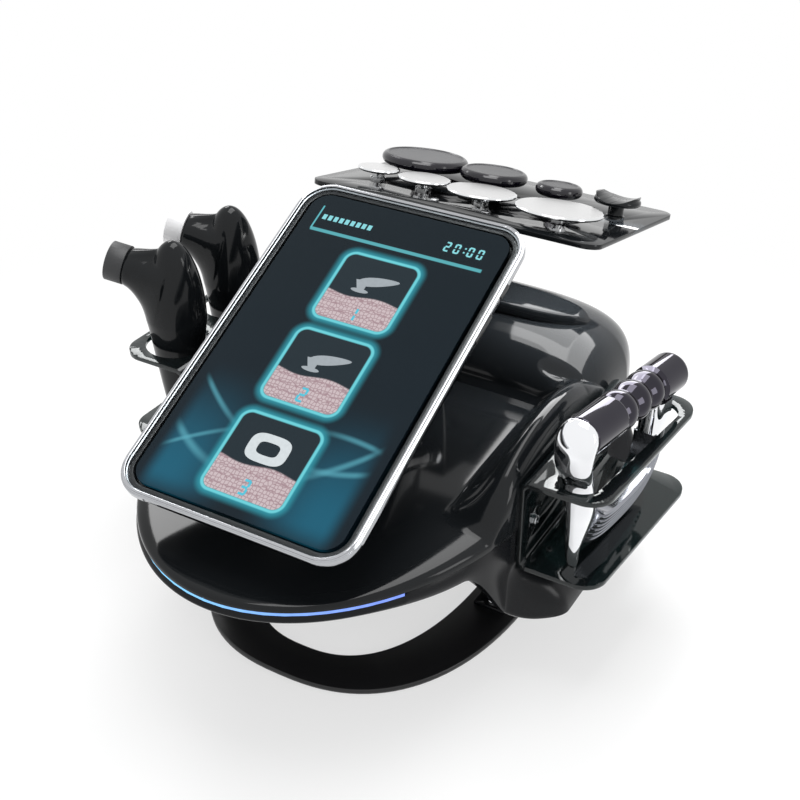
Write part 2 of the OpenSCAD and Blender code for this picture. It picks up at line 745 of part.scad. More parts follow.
module tablet_back() {
  gap = 0.4;
  color("#1b1c1f")
  tablet_space() difference() {
    union() {
      translate([0, 5, -tablet_t]) rounded_slab(tablet_w - 10, tablet_l - 10, tablet_r - 5, tablet_t - bezel_t);
      translate([0, frame_rim + 1 + gap, -bezel_t])
        rounded_slab(tablet_w - 2 * (frame_rim + 1 + gap), tablet_l - 2 * (frame_rim + 1 + gap), tablet_r - 6, 5.4);
    }
    translate([0, 9, -tablet_t + 2])
      rounded_slab(tablet_w - 18, tablet_l - 18, tablet_r - 9, tablet_t);
  }
}

module tablet_frame() {
  color("#c9ccd0")
  tablet_space() difference() {
    union() {
      translate([0, 1, -bezel_t]) rounded_slab(tablet_w - 2, tablet_l - 2, tablet_r - 1, bezel_t - 1.5);
      translate([0, 0, -bezel_t + 2]) rounded_slab(tablet_w, tablet_l, tablet_r, bezel_t - 4);
      translate([0, 2, -3]) rounded_slab(tablet_w - 4, tablet_l - 4, tablet_r - 2, 3);
    }
    translate([0, frame_rim, -2.4])
      rounded_slab(tablet_w - 2 * frame_rim, tablet_l - 2 * frame_rim, tablet_r - frame_rim, 5);
    translate([0, frame_rim + 1, -20])
      rounded_slab(tablet_w - 2 * frame_rim - 2, tablet_l - 2 * frame_rim - 2, tablet_r - frame_rim - 1, 30);
    for (i = [0, 1]) translate([tablet_w / 2 - 3.6, key_y[i] - key_l[i] / 2 - 0.1, -6.6])
      cube([10, key_l[i] + 0.2, 3.2]);
    translate([-tablet_w / 2 + 32, -5, -7]) cube([12, 30, 3.5]);
  }
}

module tablet_glass() {
  color("#20262b")
  tablet_space() translate([0, frame_rim + 0.1, -2.3])
    rounded_slab(tablet_w - 2 * frame_rim - 0.2, tablet_l - 2 * frame_rim - 0.2, tablet_r - frame_rim - 0.1, 2);
}

module tablet_display() {
  color("#2b5f73")
  tablet_space() translate([0, 11, -5.6]) rounded_slab(tablet_w - 24, tablet_l - 22, tablet_r - 12, 3);
}

module tablet_board() {
  color("#1f5c39")
  tablet_space() {
    translate([0, 60, -tablet_t + 4]) rounded_slab(120, 150, 3, 1.6);
    for (x = [-50, 50], y = [66, 204]) translate([x, y, -tablet_t + 2]) cylinder(d = 6, h = 2);
    for (x = [-30, 0, 30]) translate([x - 8, 120, -tablet_t + 5.6]) cube([16, 16, 1.6]);
  }
}

module tablet_bracket() {
  depth = 94;
  foot_y = 190;
  // Place of the hinge in the tablet's own directions
  dy = hinge_y;
  dz = hinge_z - tablet_edge_z;
  hy = dy * cos(tablet_lean) + dz * sin(tablet_lean);
  hz = -dy * sin(tablet_lean) + dz * cos(tablet_lean);
  color("#17181b")
  tablet_space() difference() {
    union() {
      translate([0, hy - 45, -tablet_t - 4]) rounded_slab(2 * lug_x + lug_t + 16, 90, 8, 4 - 0.02);
      for (side = [-1, 1]) translate([side * lug_x - lug_t / 2, 0, 0]) rotate([90, 0, 90]) linear_extrude(lug_t) {
        polygon([
          [hy - 30, -tablet_t - 3], [hy + 30, -tablet_t - 3],
          [hy + 12, hz + 3], [hy + 12, hz], [hy - 12, hz], [hy - 12, hz + 3]
        ]);
        translate([hy, hz]) circle(12);
      }
      translate([-lug_x, hy - 4, -tablet_t - 34]) cube([2 * lug_x, 8, 31.5]);
    }
    translate([-100, hy, hz]) rotate([0, 90, 0]) cylinder(r = pin_d / 2 + run_fit, h = 200);
  }
}

module side_key(i) {
  color("#0b0c0d")
  tablet_space() translate([tablet_w / 2 - 2.8, key_y[i] - key_l[i] / 2, -6.5]) cube([3.6, key_l[i], 3]);
}

module power_key() side_key(1);

module volume_key() side_key(0);

// Handpieces

hand_z = shelf_low_z + seat;
neck_l = nozzle_reach - collar_l;

// Radius of the stem at height h, and how far its middle lies away from the nozzle there
function hand_r(h) = h < hand_wide_h
  ? mix(grip_end_r, head_r, pow(h / hand_wide_h, 0.85))
  : head_r * sqrt(max(0, 1 - pow((h - hand_wide_h) / (hand_h - hand_wide_h), 2)));
function hand_shift(h) = 3.6 * h / hand_h;

module loft(rings, n) {
  points = [for (ring = rings) each ring];
  sides = [for (j = [0 : len(rings) - 2], i = [0 : n - 1])
    [j * n + i, j * n + (i + 1) % n, (j + 1) * n + (i + 1) % n, (j + 1) * n + i]];
  polyhedron(
    points = points,
    faces = flip(concat(sides, [[for (i = [0 : n - 1]) n - 1 - i]], [[for (i = [0 : n - 1]) (len(rings) - 1) * n + i]])),
    convexity = 6
  );
}

module hand_stem() {
  n = 28;
  hs = concat([8, 26, 46, 66, 84], [for (a = [0 : 12 : 84]) mix(hand_wide_h, hand_h, sin(a))]);
  loft([for (h = hs) [for (i = [0 : n - 1]) let (a = i * 360 / n)
    [hand_r(h) * cos(a) + hand_shift(h), hand_r(h) * 0.9 * sin(a), h]]], n);
}

// Neck from its end at the collar back into the stem, along the nozzle's axis
module hand_neck() {
  n = 28;
  ds = [neck_l, neck_l - 4, 29, 24, 19, 14, 9, 4, 0];
  loft([for (d = ds) [for (i = [0 : n - 1]) let (
    a = i * 360 / n,
    q = 1 - d / neck_l,
    down = sin(a) > 0 ? nozzle_r : nozzle_r + 44 * smooth(q / 1.25),
    side = nozzle_r + 4 * smooth(q)
  ) [-d, side * cos(a), down * sin(a)]]], n);
}

module nozzle_space() {
  translate([0, 0, nozzle_h]) rotate([0, nozzle_lean, 0]) children();
}

module hand_space(y) {
  translate([-cup_x, y, hand_z]) rotate([0, 0, hand_turn]) children();
}

module handpiece_shell(y) {
  color("#101114")
  hand_space(y) union() {
    hand_stem();
    nozzle_space() hand_neck();
  }
}

module handpiece_collar(y, shade) {
  color(shade)
  hand_space(y) nozzle_space() translate([-neck_l - collar_l, 0, 0]) rotate([0, 90, 0]) difference() {
    cylinder(r = nozzle_r, h = collar_l - 0.02);
    translate([0, 0, -1]) cylinder(r = nozzle_r - 4, h = 3);
    translate([0, 0, -1]) cylinder(r = stem_d / 2 + stem_fit, h = 13);
  }
}

module handpiece_socket(y) {
  color("#4b4e52")
  hand_space(y) difference() {
    cylinder(r = grip_end_r - 2, h = 8 - 0.02);
    translate([0, 0, -1]) cylinder(d = 9, h = 6);
  }
}

module near_handpiece_shell() handpiece_shell(cup_y);

module near_handpiece_collar() handpiece_collar(cup_y, "#25272a");

module near_handpiece_socket() handpiece_socket(cup_y);

module far_handpiece_shell() handpiece_shell(cup_y + cup_pitch);

module far_handpiece_collar() handpiece_collar(cup_y + cup_pitch, "#e9eaec");

module far_handpiece_socket() handpiece_socket(cup_y + cup_pitch);

// Closed loop massager, drawn in its own upright plane with Y along the loop

loop_x = holder_x + 36;
loop_y = 168;
loop_yaw = 6.5;
grip_drop = 5;
grip_start = 5;
grip_front_z = loop_h + 4;
grip_l = loop_l + 6;
blade_t = 28;
blade_mid_z = 62;
blade_power = 2.6;
blade_start = 142;
grub_at = [11, grip_l - 20];
grub_turn = 35;

module loop_space() {
  translate([loop_x, loop_y, shelf_low_z + seat]) rotate([0, 0, -loop_yaw]) children();
}

module grip_space() {
  loop_space() translate([0, grip_start, grip_front_z]) rotate([-90 - grip_drop, 0, 0]) children();
}

// Radius of the grip at distance s from its front end
function grip_radius(s) = let (
    a = grip_l * 0.3,
    b = grip_l * 0.73,
    wave = s > a && s < b ? 1 - abs(sin(540 * (s - a) / (b - a))) : 0
  ) loop_grip_r - finger_depth * pow(wave, 1.5);

// Height of the grip's underside at length s
function grip_under(s) = grip_front_z - (s - grip_start) * tan(grip_drop) - loop_grip_r / cos(grip_drop) - seat;

module grub_bores(d, from, to) {
  for (at = grub_at) translate([0, 0, at]) rotate([0, 0, grub_turn]) rotate([0, 90, 0])
    translate([0, 0, from]) cylinder(d = d, h = to - from);
}

module massager_grip() {
  r = loop_grip_r;
  color("#3d3f47")
  grip_space() difference() {
    rotate_extrude() polygon(concat(
      [[0, 0], [r - 1, 0], [r, 1]],
      [for (i = [1 : 60]) let (s = mix(1.5, grip_l - 9, i / 60)) [grip_radius(s), s]],
      [for (a = [15 : 15 : 75]) [r * cos(a), grip_l - 9 + 9 * sin(a)]],
      [[0, grip_l]]
    ));
    grub_bores(4.2, r - 5, r + 5);
  }
}

module massager_screws() {
  color("#2a2b2e")
  grip_space() grub_bores(4, loop_grip_r - 4.95, loop_grip_r - 1.5);
}

// Point and outward direction of the blade's edge at turn a
function blade_point(a) = [
  loop_l / 2 + loop_l / 2 * signed_pow(cos(a), 2 / blade_power),
  blade_mid_z - (blade_mid_z - 3) * pow(abs(sin(a)), 2 / blade_power)
];
function blade_normal(a) = let (
    q = 2 * (blade_power - 1) / blade_power,
    n = [signed_pow(cos(a), q) / loop_l * 2, -pow(abs(sin(a)), q) / (blade_mid_z - 3)]
  ) n / norm(n);

// Half section of the blade, as depth from its edge and half width, with grooves along both sides
blade_half = concat(
  [[0, 2.5], [1, 3.6]],
  [for (k = [0 : 5]) each [[2 + 4 * k, 4.4 + k * 1.1], [3.6 + 4 * k, 4.9 + k * 1.1], [4.6 + 4 * k, 3.4 + k * 1.1]]],
  [[blade_t - 1.4, 10.9], [blade_t, 9.5]]
);

module massager_blade() {
  section = concat(
    [for (q = blade_half) q],
    [for (i = [len(blade_half) - 1 : -1 : 0]) [blade_half[i][0], -blade_half[i][1]]]
  );
  color("#6d7078")
  loop_space() loft([for (i = [0 : 22]) let (
      a = blade_start * (1 - i / 22),
      p = blade_point(a),
      n = blade_normal(a)
    ) [for (q = section) [q[1], p[0] - n[0] * q[0], p[1] - n[1] * q[0]]]], len(section));
}

// Rings of the front leg, as inner length and height, outer length and height, and half width
leg_end = blade_point(blade_start);
leg_in = blade_normal(blade_start);
leg_off = [-0.35 * abs(leg_in[1]), 0.35 * abs(leg_in[0])];
leg_rings = [
  [grip_start - 1.9, grip_front_z - loop_grip_r + 0.7, grip_start + 0.9, grip_front_z + loop_grip_r - 0.7, loop_grip_r - 0.6],
  [grip_start - 2.8, grip_front_z - loop_grip_r - 0.2, grip_start - 4, grip_front_z + loop_grip_r - 2.5, loop_grip_r - 0.2],
  [grip_start - 2.6, grip_front_z - loop_grip_r - 1.4, grip_start - 9.5, grip_front_z + loop_grip_r - 10, loop_grip_r - 0.1],
  [grip_start - 0.5, grip_front_z - loop_grip_r - 4.2, grip_start - 13, grip_front_z - 7, loop_grip_r - 0.7],
  [7.5, grip_front_z - 25, -7, grip_front_z - 22, 14.4],
  [11.5, grip_front_z - 32, -3, grip_front_z - 32, 13.2],
  [15, 76, 1, 75, 11.8],
  [24, 58, 1.5, 57, 10.4],
  [leg_end[0] - leg_in[0] * blade_t + leg_off[0], leg_end[1] - leg_in[1] * blade_t + leg_off[1], 2.5, 44, 9],
  [leg_end[0] - leg_in[0] * 14 + leg_off[0], leg_end[1] - leg_in[1] * 14 + leg_off[1], 4, 27, 7.6],
  [leg_end[0] + leg_off[0], leg_end[1] + leg_off[1], 5, 12, 6],
  [12.5, 8, 6, 4, 5],
  [11.5, 0, 7, 0, 4]
];

module massager_frame() {
  n = 20;
  color("#d9dbde")
  loop_space() {
    loft([for (r = leg_rings) [for (i = [0 : n - 1]) let (
        a = i * 360 / n,
        c = signed_pow(cos(a), 0.8) / 2,
        w = r[4] * signed_pow(sin(a), 0.8)
      ) [w, (r[0] + r[2]) / 2 + c * (r[0] - r[2]), (r[1] + r[3]) / 2 + c * (r[1] - r[3])]]], n);
    translate([-10, 0, 0]) rotate([90, 0, 90]) linear_extrude(20) polygon([
      [loop_l - blade_t, blade_mid_z + 0.3], [loop_l - 0.2, blade_mid_z + 0.3], [loop_l - 0.6, blade_mid_z + 9],
      [loop_l - 3, grip_under(loop_l - 3)], [loop_l - blade_t + 2, grip_under(loop_l - blade_t + 2)],
      [loop_l - blade_t, blade_mid_z + 14]
    ]);
  }
}

// Rear panel and what is in it

panel_y = rear_y;
panel_low = seam_z + 1;
inlet_x = -62;
switch_x = -22;
socket_xs = [12, 42, 72];
panel_mid_z = seam_z + 24;

module panel_outline(inset) {
  w = plan_half(rear_y) - inset;
  up = top_z(rear_y, 0) - seam_z - inset;
  polygon([for (i = [0 : 24]) let (a = 180 * i / 24)
    [w * signed_pow(cos(a), 2 / arch_power), max(panel_low, seam_z + up * pow(max(0, sin(a)), 2 / arch_power))]]);
}

module rear_panel() {
  color("#1a1b1d")
  translate([0, panel_y + panel_t, 0]) rotate([90, 0, 0]) linear_extrude(panel_t - 0.02) difference() {
    panel_outline(0.5);
    translate([inlet_x - 14, panel_mid_z - 10.5]) square([28, 21]);
    translate([switch_x - 7, panel_mid_z - 10.5]) square([14, 21]);
    for (x = socket_xs) translate([x, panel_mid_z]) circle(d = socket_d - 4);
    for (side = [-1, 1]) translate([side * 98, seam_z + 12]) circle(d = 3.1);
  }
}

module panel_screws() {
  color("#8c9094")
  for (side = [-1, 1]) translate([side * 98, panel_y + panel_t, seam_z + 12]) rotate([-90, 0, 0])
    pan_screw(3, panel_t);
}

module power_inlet() {
  color("#151618")
  translate([inlet_x, panel_y + panel_t, panel_mid_z]) rotate([-90, 0, 0]) {
    difference() {
      union() {
        translate([0, -12.5, 0]) rounded_slab(36, 25, 3, 2.5);
        translate([-13.9, -10.4, -18]) cube([27.8, 20.8, 18.1]);
      }
      translate([-12, -8.6, -14]) cube([24, 17.2, 20]);
    }
    for (x = [-7, 0, 7]) translate([x - 1, x == 0 ? -3.2 : 0, -14.5]) cube([2, 3.2, 11]);
  }
}

module switch_frame() {
  color("#101113")
  translate([switch_x, panel_y + panel_t, panel_mid_z]) rotate([-90, 0, 0]) difference() {
    union() {
      translate([0, -12.5, 0]) rounded_slab(17.5, 25, 2, 2);
      translate([-6.9, -10.4, -14]) cube([13.8, 20.8, 14.1]);
    }
    translate([-5.6, -9.2, -11]) cube([11.2, 18.4, 20]);
  }
}

module power_rocker() {
  color("#1d1e21")
  translate([switch_x, panel_y + panel_t, panel_mid_z]) rotate([90, 0, 90]) translate([0, 0, -5.2])
    linear_extrude(10.4) polygon([[-2.5, -7.2], [2.6, -7.9], [1.4, 0], [2.6, 7.9], [-2.5, 7.2], [-6, 2], [-6, -2]]);
}

module output_socket(i) {
  color("#2c2e31")
  translate([socket_xs[i], panel_y + panel_t, panel_mid_z]) rotate([-90, 0, 0]) difference() {
    union() {
      cylinder(d = socket_d, h = 3);
      translate([0, 0, -16]) cylinder(d = socket_d - 4.4, h = 16.1);
    }
    translate([0, 0, -12]) cylinder(d = socket_bore, h = 20);
  }
}

// Inside the casings

floor_z = belly_z + wall + 0.05;

module power_supply() {
  color("#a9acb0")
  translate([-78, 276, floor_z]) difference() {
    cube([84, 76, 32]);
    translate([2, 2, 2]) cube([80, 72, 32]);
    for (i = [0 : 5]) translate([-1, 12 + i * 10, 8]) cube([100, 4, 16]);
  }
}

module rf_board() {
  color("#1f5c39")
  translate([-70, 120, floor_z]) {
    translate([0, 0, 10]) cube([140, 150, 1.6]);
    for (x = [8, 132], y = [8, 142]) translate([x, y, 0]) cylinder(d = 7, h = 10.1);
  }
}

module rf_coils() {
  color("#b8692f")
  for (x = [-40, 0, 40]) translate([x, 150, floor_z + 11.62 + 7]) rotate_extrude()
    translate([12, 0]) circle(7, $fn = 24);
}

module heatsink() {
  color("#b9bcc0")
  translate([-50, 190, floor_z + 11.62]) {
    cube([100, 60, 5]);
    for (i = [0 : 12]) translate([i * 8.1, 0, 4.9]) cube([2, 60, 20]);
  }
}

fan_x = 48;
fan_y = 340;
fan_r = 27;

module fan_space() {
  translate([fan_x, fan_y, floor_z + 30]) rotate([-90, 0, 0]) children();
}

module cooling_fan() {
  color("#1b1c1e")
  fan_space() {
    difference() {
      translate([-30, -30, -12.5]) cube([60, 60, 25]);
      translate([0, 0, -20]) cylinder(r = fan_r, h = 40);
      for (x = [-25, 25], y = [-25, 25]) translate([x, y, -20]) cylinder(d = 4, h = 40);
    }
    translate([0, 0, -12.5]) cylinder(r = 13, h = 3);
    for (a = [15 : 120 : 255]) rotate([0, 0, a]) translate([10, -1.5, -12.2]) cube([fan_r - 9, 3, 2.4]);
    translate([0, 0, -11]) cylinder(r = 2, h = 9.4);
  }
}

module fan_rotor() {
  color("#2b2d30")
  fan_space() difference() {
    union() {
      translate([0, 0, -9]) cylinder(r = 13, h = 18);
      for (a = [0 : 60 : 300]) rotate([0, 0, a]) translate([11, 0, 0]) rotate([35, 0, 0])
        translate([0, -0.8, -9]) cube([14, 1.6, 18]);
    }
    translate([0, 0, -10]) cylinder(r = 2 + run_fit, h = 9);
  }
}

// Shift that puts the origin under the middle of the whole machine

nozzle_out = cos(nozzle_lean) * cos(hand_turn);
left_reach = cup_x + nozzle_reach * nozzle_out + nozzle_r * sqrt(1 - nozzle_out * nozzle_out);
right_reach = holder_x + max(right_near, right_far);
front_reach = half_l + lip_bulge - body_mid_y;
rear_reach = tray_y + tray_l * cos(tray_tilt);

module placed() {
  translate([(left_reach - right_reach) / 2, (front_reach - rear_reach) / 2, 0]) children();
}

placed() foot_loop();
placed() foot_pads();
placed() support_legs();
placed() leg_screws();
placed() lower_casing();
placed() upper_casing();
placed() light_strip();
placed() led_board();
placed() carry_handle();
placed() handle_screws();
placed() left_holder();
placed() right_holder();
placed() holder_screws();
placed() tray_bracket();
placed() tray_plate();
placed() tray_screws();
placed() hinge_foot();
placed() support_arms();
placed() hinge_pin();
placed() rear_panel();
placed() panel_screws();
placed() power_inlet();
placed() switch_frame();
placed() power_rocker();
placed() output_socket(0);  // output_socket_1
placed() output_socket(1);  // output_socket_2
placed() output_socket(2);  // output_socket_3
placed() power_supply();
placed() rf_board();
placed() rf_coils();
placed() heatsink();
placed() cooling_fan();
placed() fan_rotor();
placed() tablet_back();
placed() tablet_frame();
placed() tablet_glass();
placed() tablet_display();
placed() tablet_board();
placed() tablet_bracket();
placed() power_key();
placed() volume_key();
placed() near_handpiece_shell();
placed() near_handpiece_collar();
placed() near_handpiece_socket();
placed() far_handpiece_shell();
placed() far_handpiece_collar();
placed() far_handpiece_socket();
placed() massager_grip();
placed() massager_frame();
placed() massager_blade();
placed() massager_screws();
placed() electrode(bare_x[0], bare_y) bare_disc(bare_r[0]);  // bare_disc_1
placed() electrode(bare_x[1], bare_y) bare_disc(bare_r[1]);  // bare_disc_2
placed() electrode(bare_x[2], bare_y) bare_disc(bare_r[2]);  // bare_disc_3
placed() electrode(bare_x[3], bare_y) bare_disc(bare_r[3]);  // bare_disc_4
placed() electrode(coated_x[0], coated_y) coated_disc(coated_r[0]);  // coated_disc_1
placed() electrode(coated_x[1], coated_y) coated_disc(coated_r[1]);  // coated_disc_2
placed() electrode(coated_x[2], coated_y) coated_disc(coated_r[2]);  // coated_disc_3
placed() electrode(coated_x[3], coated_y) saddle_disc(coated_r[3]);  // coated_saddle
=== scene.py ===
"""Looks of the desktop radio frequency therapy machine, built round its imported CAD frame.

Lengths in this script are millimetres in the part's own working frame: X from the middle
plane, Y back from the tablet's lower edge, Z up from the floor. `to_row` turns them into the
metres of the shared frame, whose origin lies under the middle of the whole machine.
"""

import json
import logging
import math
from dataclasses import dataclass
from enum import Enum
from typing import Iterable, Sequence

import bpy
import numpy as np
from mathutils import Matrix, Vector

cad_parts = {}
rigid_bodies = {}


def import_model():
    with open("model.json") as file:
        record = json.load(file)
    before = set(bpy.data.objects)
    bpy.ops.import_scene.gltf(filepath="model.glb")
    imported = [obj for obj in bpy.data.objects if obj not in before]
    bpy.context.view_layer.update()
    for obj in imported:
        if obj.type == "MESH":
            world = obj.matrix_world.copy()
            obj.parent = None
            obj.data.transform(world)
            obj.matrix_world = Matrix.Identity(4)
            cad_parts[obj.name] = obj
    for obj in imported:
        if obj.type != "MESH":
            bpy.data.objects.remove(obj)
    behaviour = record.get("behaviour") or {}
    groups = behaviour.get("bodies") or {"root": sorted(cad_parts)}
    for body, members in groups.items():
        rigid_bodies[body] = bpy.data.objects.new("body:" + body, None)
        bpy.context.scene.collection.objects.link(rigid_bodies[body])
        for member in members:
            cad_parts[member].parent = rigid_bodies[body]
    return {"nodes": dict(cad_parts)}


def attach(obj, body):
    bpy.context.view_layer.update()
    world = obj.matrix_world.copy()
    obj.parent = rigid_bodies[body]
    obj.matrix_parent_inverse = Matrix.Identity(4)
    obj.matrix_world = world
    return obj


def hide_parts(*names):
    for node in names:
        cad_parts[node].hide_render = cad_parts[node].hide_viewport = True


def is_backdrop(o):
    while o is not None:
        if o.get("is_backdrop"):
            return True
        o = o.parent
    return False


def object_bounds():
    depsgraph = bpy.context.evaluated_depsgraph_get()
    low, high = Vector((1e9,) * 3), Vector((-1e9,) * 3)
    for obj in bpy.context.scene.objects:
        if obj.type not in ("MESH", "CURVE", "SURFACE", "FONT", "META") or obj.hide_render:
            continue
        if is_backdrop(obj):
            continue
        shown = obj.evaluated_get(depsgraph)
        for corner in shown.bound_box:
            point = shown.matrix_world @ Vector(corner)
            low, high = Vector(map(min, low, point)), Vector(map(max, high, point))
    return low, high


LOG = logging.getLogger("therapy_machine")
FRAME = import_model()

Colour = tuple[float, float, float]
Point = tuple[float, float, float]
Array = np.ndarray

SHARP_DEG = 32.0


# Numbers shared by several pieces


@dataclass(frozen=True)
class Sizes:
    """Driving sizes of the machine in millimetres and degrees, by the CAD model's names."""

    half_w: float = 158.0
    half_l: float = 227.0
    side_pad: float = 5.5
    mid_y: float = 205.0
    seam_z: float = 141.0
    deck_front: float = 6.0
    deck_rear: float = 24.0
    dome_rise: float = 60.0
    ledge_step: float = 1.5
    ledge_y: float = 283.0
    ridge_y: float = 350.0
    belly_z: float = 88.0
    lip_z: float = 114.0
    wing_reach: float = 37.5
    wing_z: float = 60.0
    cheek_rise: float = 64.0
    well_depth: float = 30.0
    lip_bulge: float = 2.5
    strip_h: float = 3.2
    strip_d: float = 4.0
    strip_half_angle: float = 37.5
    tablet_lean: float = 25.5
    tablet_z: float = 188.0
    shelf_low_z: float = 107.0
    seat_gap: float = 0.3
    right_far: float = 78.0
    near_cup_y: float = 192.5
    cup_pitch: float = 79.0
    hand_h: float = 171.0
    hand_wide_h: float = 100.0
    head_r: float = 25.5
    grip_end_r: float = 10.5
    nozzle_h: float = 136.0
    nozzle_r: float = 16.5
    nozzle_reach: float = 53.0
    collar_l: float = 15.0
    nozzle_lean: float = 13.0
    hand_turn: float = 18.0
    loop_l: float = 142.0
    loop_h: float = 112.0
    loop_grip_r: float = 16.0
    finger_depth: float = 3.5
    loop_yaw: float = 6.5
    grip_drop: float = 5.0
    grip_start: float = 5.0
    tray_y: float = 320.0
    tray_z: float = 297.0
    tray_l: float = 190.0
    tray_tilt: float = 13.5

    @property
    def pad_x(self) -> float:
        """Half width of the body between its two flat side pads."""
        return self.half_w - self.side_pad

    @property
    def rear_y(self) -> float:
        """Depth at which the body is cut flat for its rear panel."""
        return self.mid_y + self.half_l - 12.0

    @property
    def holder_x(self) -> float:
        """Distance of a holder's wall from the middle plane."""
        return self.pad_x + self.seat_gap

    @property
    def cup_x(self) -> float:
        """Distance of the handpieces' axes from the middle plane."""
        return self.holder_x + 34.2

    @property
    def seat_z(self) -> float:
        """Height at which the handpieces and the massager stand in their holders."""
        return self.shelf_low_z + self.seat_gap

    @property
    def neck_l(self) -> float:
        """Length of a handpiece's neck, up to its collar."""
        return self.nozzle_reach - self.collar_l

    @property
    def shift(self) -> Array:
        """Shift from the working frame to the shared frame, in millimetres."""
        out = math.cos(math.radians(self.nozzle_lean)) * math.cos(math.radians(self.hand_turn))
        left = self.cup_x + self.nozzle_reach * out + self.nozzle_r * math.sqrt(1 - out * out)
        right = self.holder_x + self.right_far
        front = self.half_l + self.lip_bulge - self.mid_y
        rear = self.tray_y + self.tray_l * math.cos(math.radians(self.tray_tilt))
        return np.array([(left - right) / 2, (front - rear) / 2, 0.0])


S = Sizes()


def to_row(points: Array) -> Array:
    """Turns working millimetres into metres of the shared frame.

    Args:
        points: Array whose last axis holds X, Y and Z.

    Returns:
        The same points in metres of the shared frame.
    """
    return (np.asarray(points, dtype=float) + S.shift) * 0.001


# Shader building


class Nodes:
    """Adds shader nodes to one tree and joins them by socket or by value."""

    def __init__(self, tree: bpy.types.NodeTree) -> None:
        """Empties the tree that is to be filled."""
        self.tree = tree
        tree.nodes.clear()

    def put(self, socket: bpy.types.NodeSocket, value) -> None:
        """Links a socket, or sets a constant.

        Args:
            socket: The input to fill.
            value: An output socket, a node with one output, a number or a sequence of numbers.
        """
        if isinstance(value, bpy.types.Node):
            value = value.outputs[0]
        if isinstance(value, bpy.types.NodeSocket):
            self.tree.links.new(value, socket)
        elif hasattr(value, "__len__") and len(value) == 3 and socket.type == "RGBA":
            socket.default_value = (*value, 1.0)
        else:
            socket.default_value = value

    def add(self, kind: str, inputs: dict | None = None, **settings) -> bpy.types.Node:
        """Adds a node.

        Args:
            kind: Blender's type name of the node, without "ShaderNode".
            inputs: Values or sockets for the node's inputs, by name or number.
            **settings: Attributes of the node itself.

        Returns:
            The new node.
        """
        node = self.tree.nodes.new(f"ShaderNode{kind}")
        for key, value in settings.items():
            setattr(node, key, value)
        for key, value in (inputs or {}).items():
            self.put(node.inputs[key], value)
        return node

    def math(self, operation: str, a, b=0.0, c=0.0, clamp: bool = False):
        """Adds a Math node and returns its output."""
        return self.add("Math", {0: a, 1: b, 2: c}, operation=operation, use_clamp=clamp).outputs[0]

    def times(self, first, *others):
        """Multiplies values and returns the product."""
        for other in others:
            first = self.math("MULTIPLY", first, other)
        return first

    def gap(self, value, middle: float):
        """Returns how far a value lies from a middle, on either side."""
        return self.math("ABSOLUTE", self.math("SUBTRACT", value, middle))

    def swing(self, value, by: float, mean: float, clamp: bool = False):
        """Turns a value from 0 to 1 into one that swings by a share of it around a mean."""
        return self.math("MULTIPLY_ADD", self.math("SUBTRACT", value, 0.5), by, mean, clamp)

    def vmath(self, operation: str, a, b=(0.0, 0.0, 0.0)):
        """Adds a Vector Math node and returns the output that the operation fills."""
        node = self.add("VectorMath", {0: a, 1: b}, operation=operation)
        return node.outputs["Value" if operation in ("LENGTH", "DOT_PRODUCT") else "Vector"]

    def ramp(self, factor, low: float, high: float, to_low: float = 0.0, to_high: float = 1.0):
        """Maps a value smoothly from one range to another and clamps it."""
        limits = {"From Min": low, "From Max": high, "To Min": to_low, "To Max": to_high}
        node = self.add("MapRange", {"Value": factor, **limits}, interpolation_type="SMOOTHSTEP")
        return node.outputs["Result"]

    def mix(self, factor, a, b):
        """Mixes two colours and returns the result's socket."""
        node = self.add("Mix", data_type="RGBA")
        for key, value in (("Factor", factor), ("A", a), ("B", b)):
            self.put(node.inputs[key], value)
        return node.outputs["Result"]

    def noise(self, vector, scale: float, detail: float = 2.0, roughness: float = 0.5):
        """Adds noise at a place and returns its value from 0 to 1."""
        inputs = {"Vector": vector, "Scale": scale, "Detail": detail, "Roughness": roughness}
        return self.add("TexNoise", inputs).outputs["Fac"]

    def bump(self, height, strength: float, distance: float):
        """Adds a bump of the given height in metres and returns its normal."""
        return self.add("Bump", {"Height": height, "Strength": strength, "Distance": distance})

    def front_fresnel(self, ior: float):
        """Adds a mirrored share that grows at grazing angles, on a sheet's front faces only."""
        share = self.add("Fresnel", {"IOR": ior})
        back = self.add("NewGeometry").outputs["Backfacing"]
        return self.times(share, self.math("SUBTRACT", 1.0, back))

    def seen(self):
        """Returns 1 for the rays of the camera, of mirrors and of glass, and 0 for light."""
        path = self.add("LightPath").outputs
        shown = self.math("MAXIMUM", path["Is Camera Ray"], path["Is Glossy Ray"])
        return self.math("MAXIMUM", shown, path["Is Transmission Ray"])

    def objects(self):
        """Returns the object's own coordinates, in metres of the shared frame."""
        return self.add("TexCoord").outputs["Object"]

    def local(self, centre: Array):
        """Returns the same coordinates, counted from a point in working millimetres."""
        return self.vmath("SUBTRACT", self.objects(), tuple(to_row(centre)))

    def surface(self, kind: str, inputs: dict) -> None:
        """Adds a shader of a kind and joins it to the material's output."""
        self.add("OutputMaterial", {"Surface": self.add(kind, inputs)})


def new_material(name: str) -> tuple[bpy.types.Material, Nodes]:
    """Makes an empty node material.

    Args:
        name: Name of the material.

    Returns:
        The material and the helper that fills its tree.
    """
    material = bpy.data.materials.new(name)
    material.use_nodes = True
    return material, Nodes(material.node_tree)


class Texture(Enum):
    """Kinds of fine relief that a finish can have."""

    GRAIN = "grain that is alike in all directions"
    BRUSHED = "fine lines along X"


# Materials of the finishes that are built so far
BUILT: dict[str, bpy.types.Material] = {}


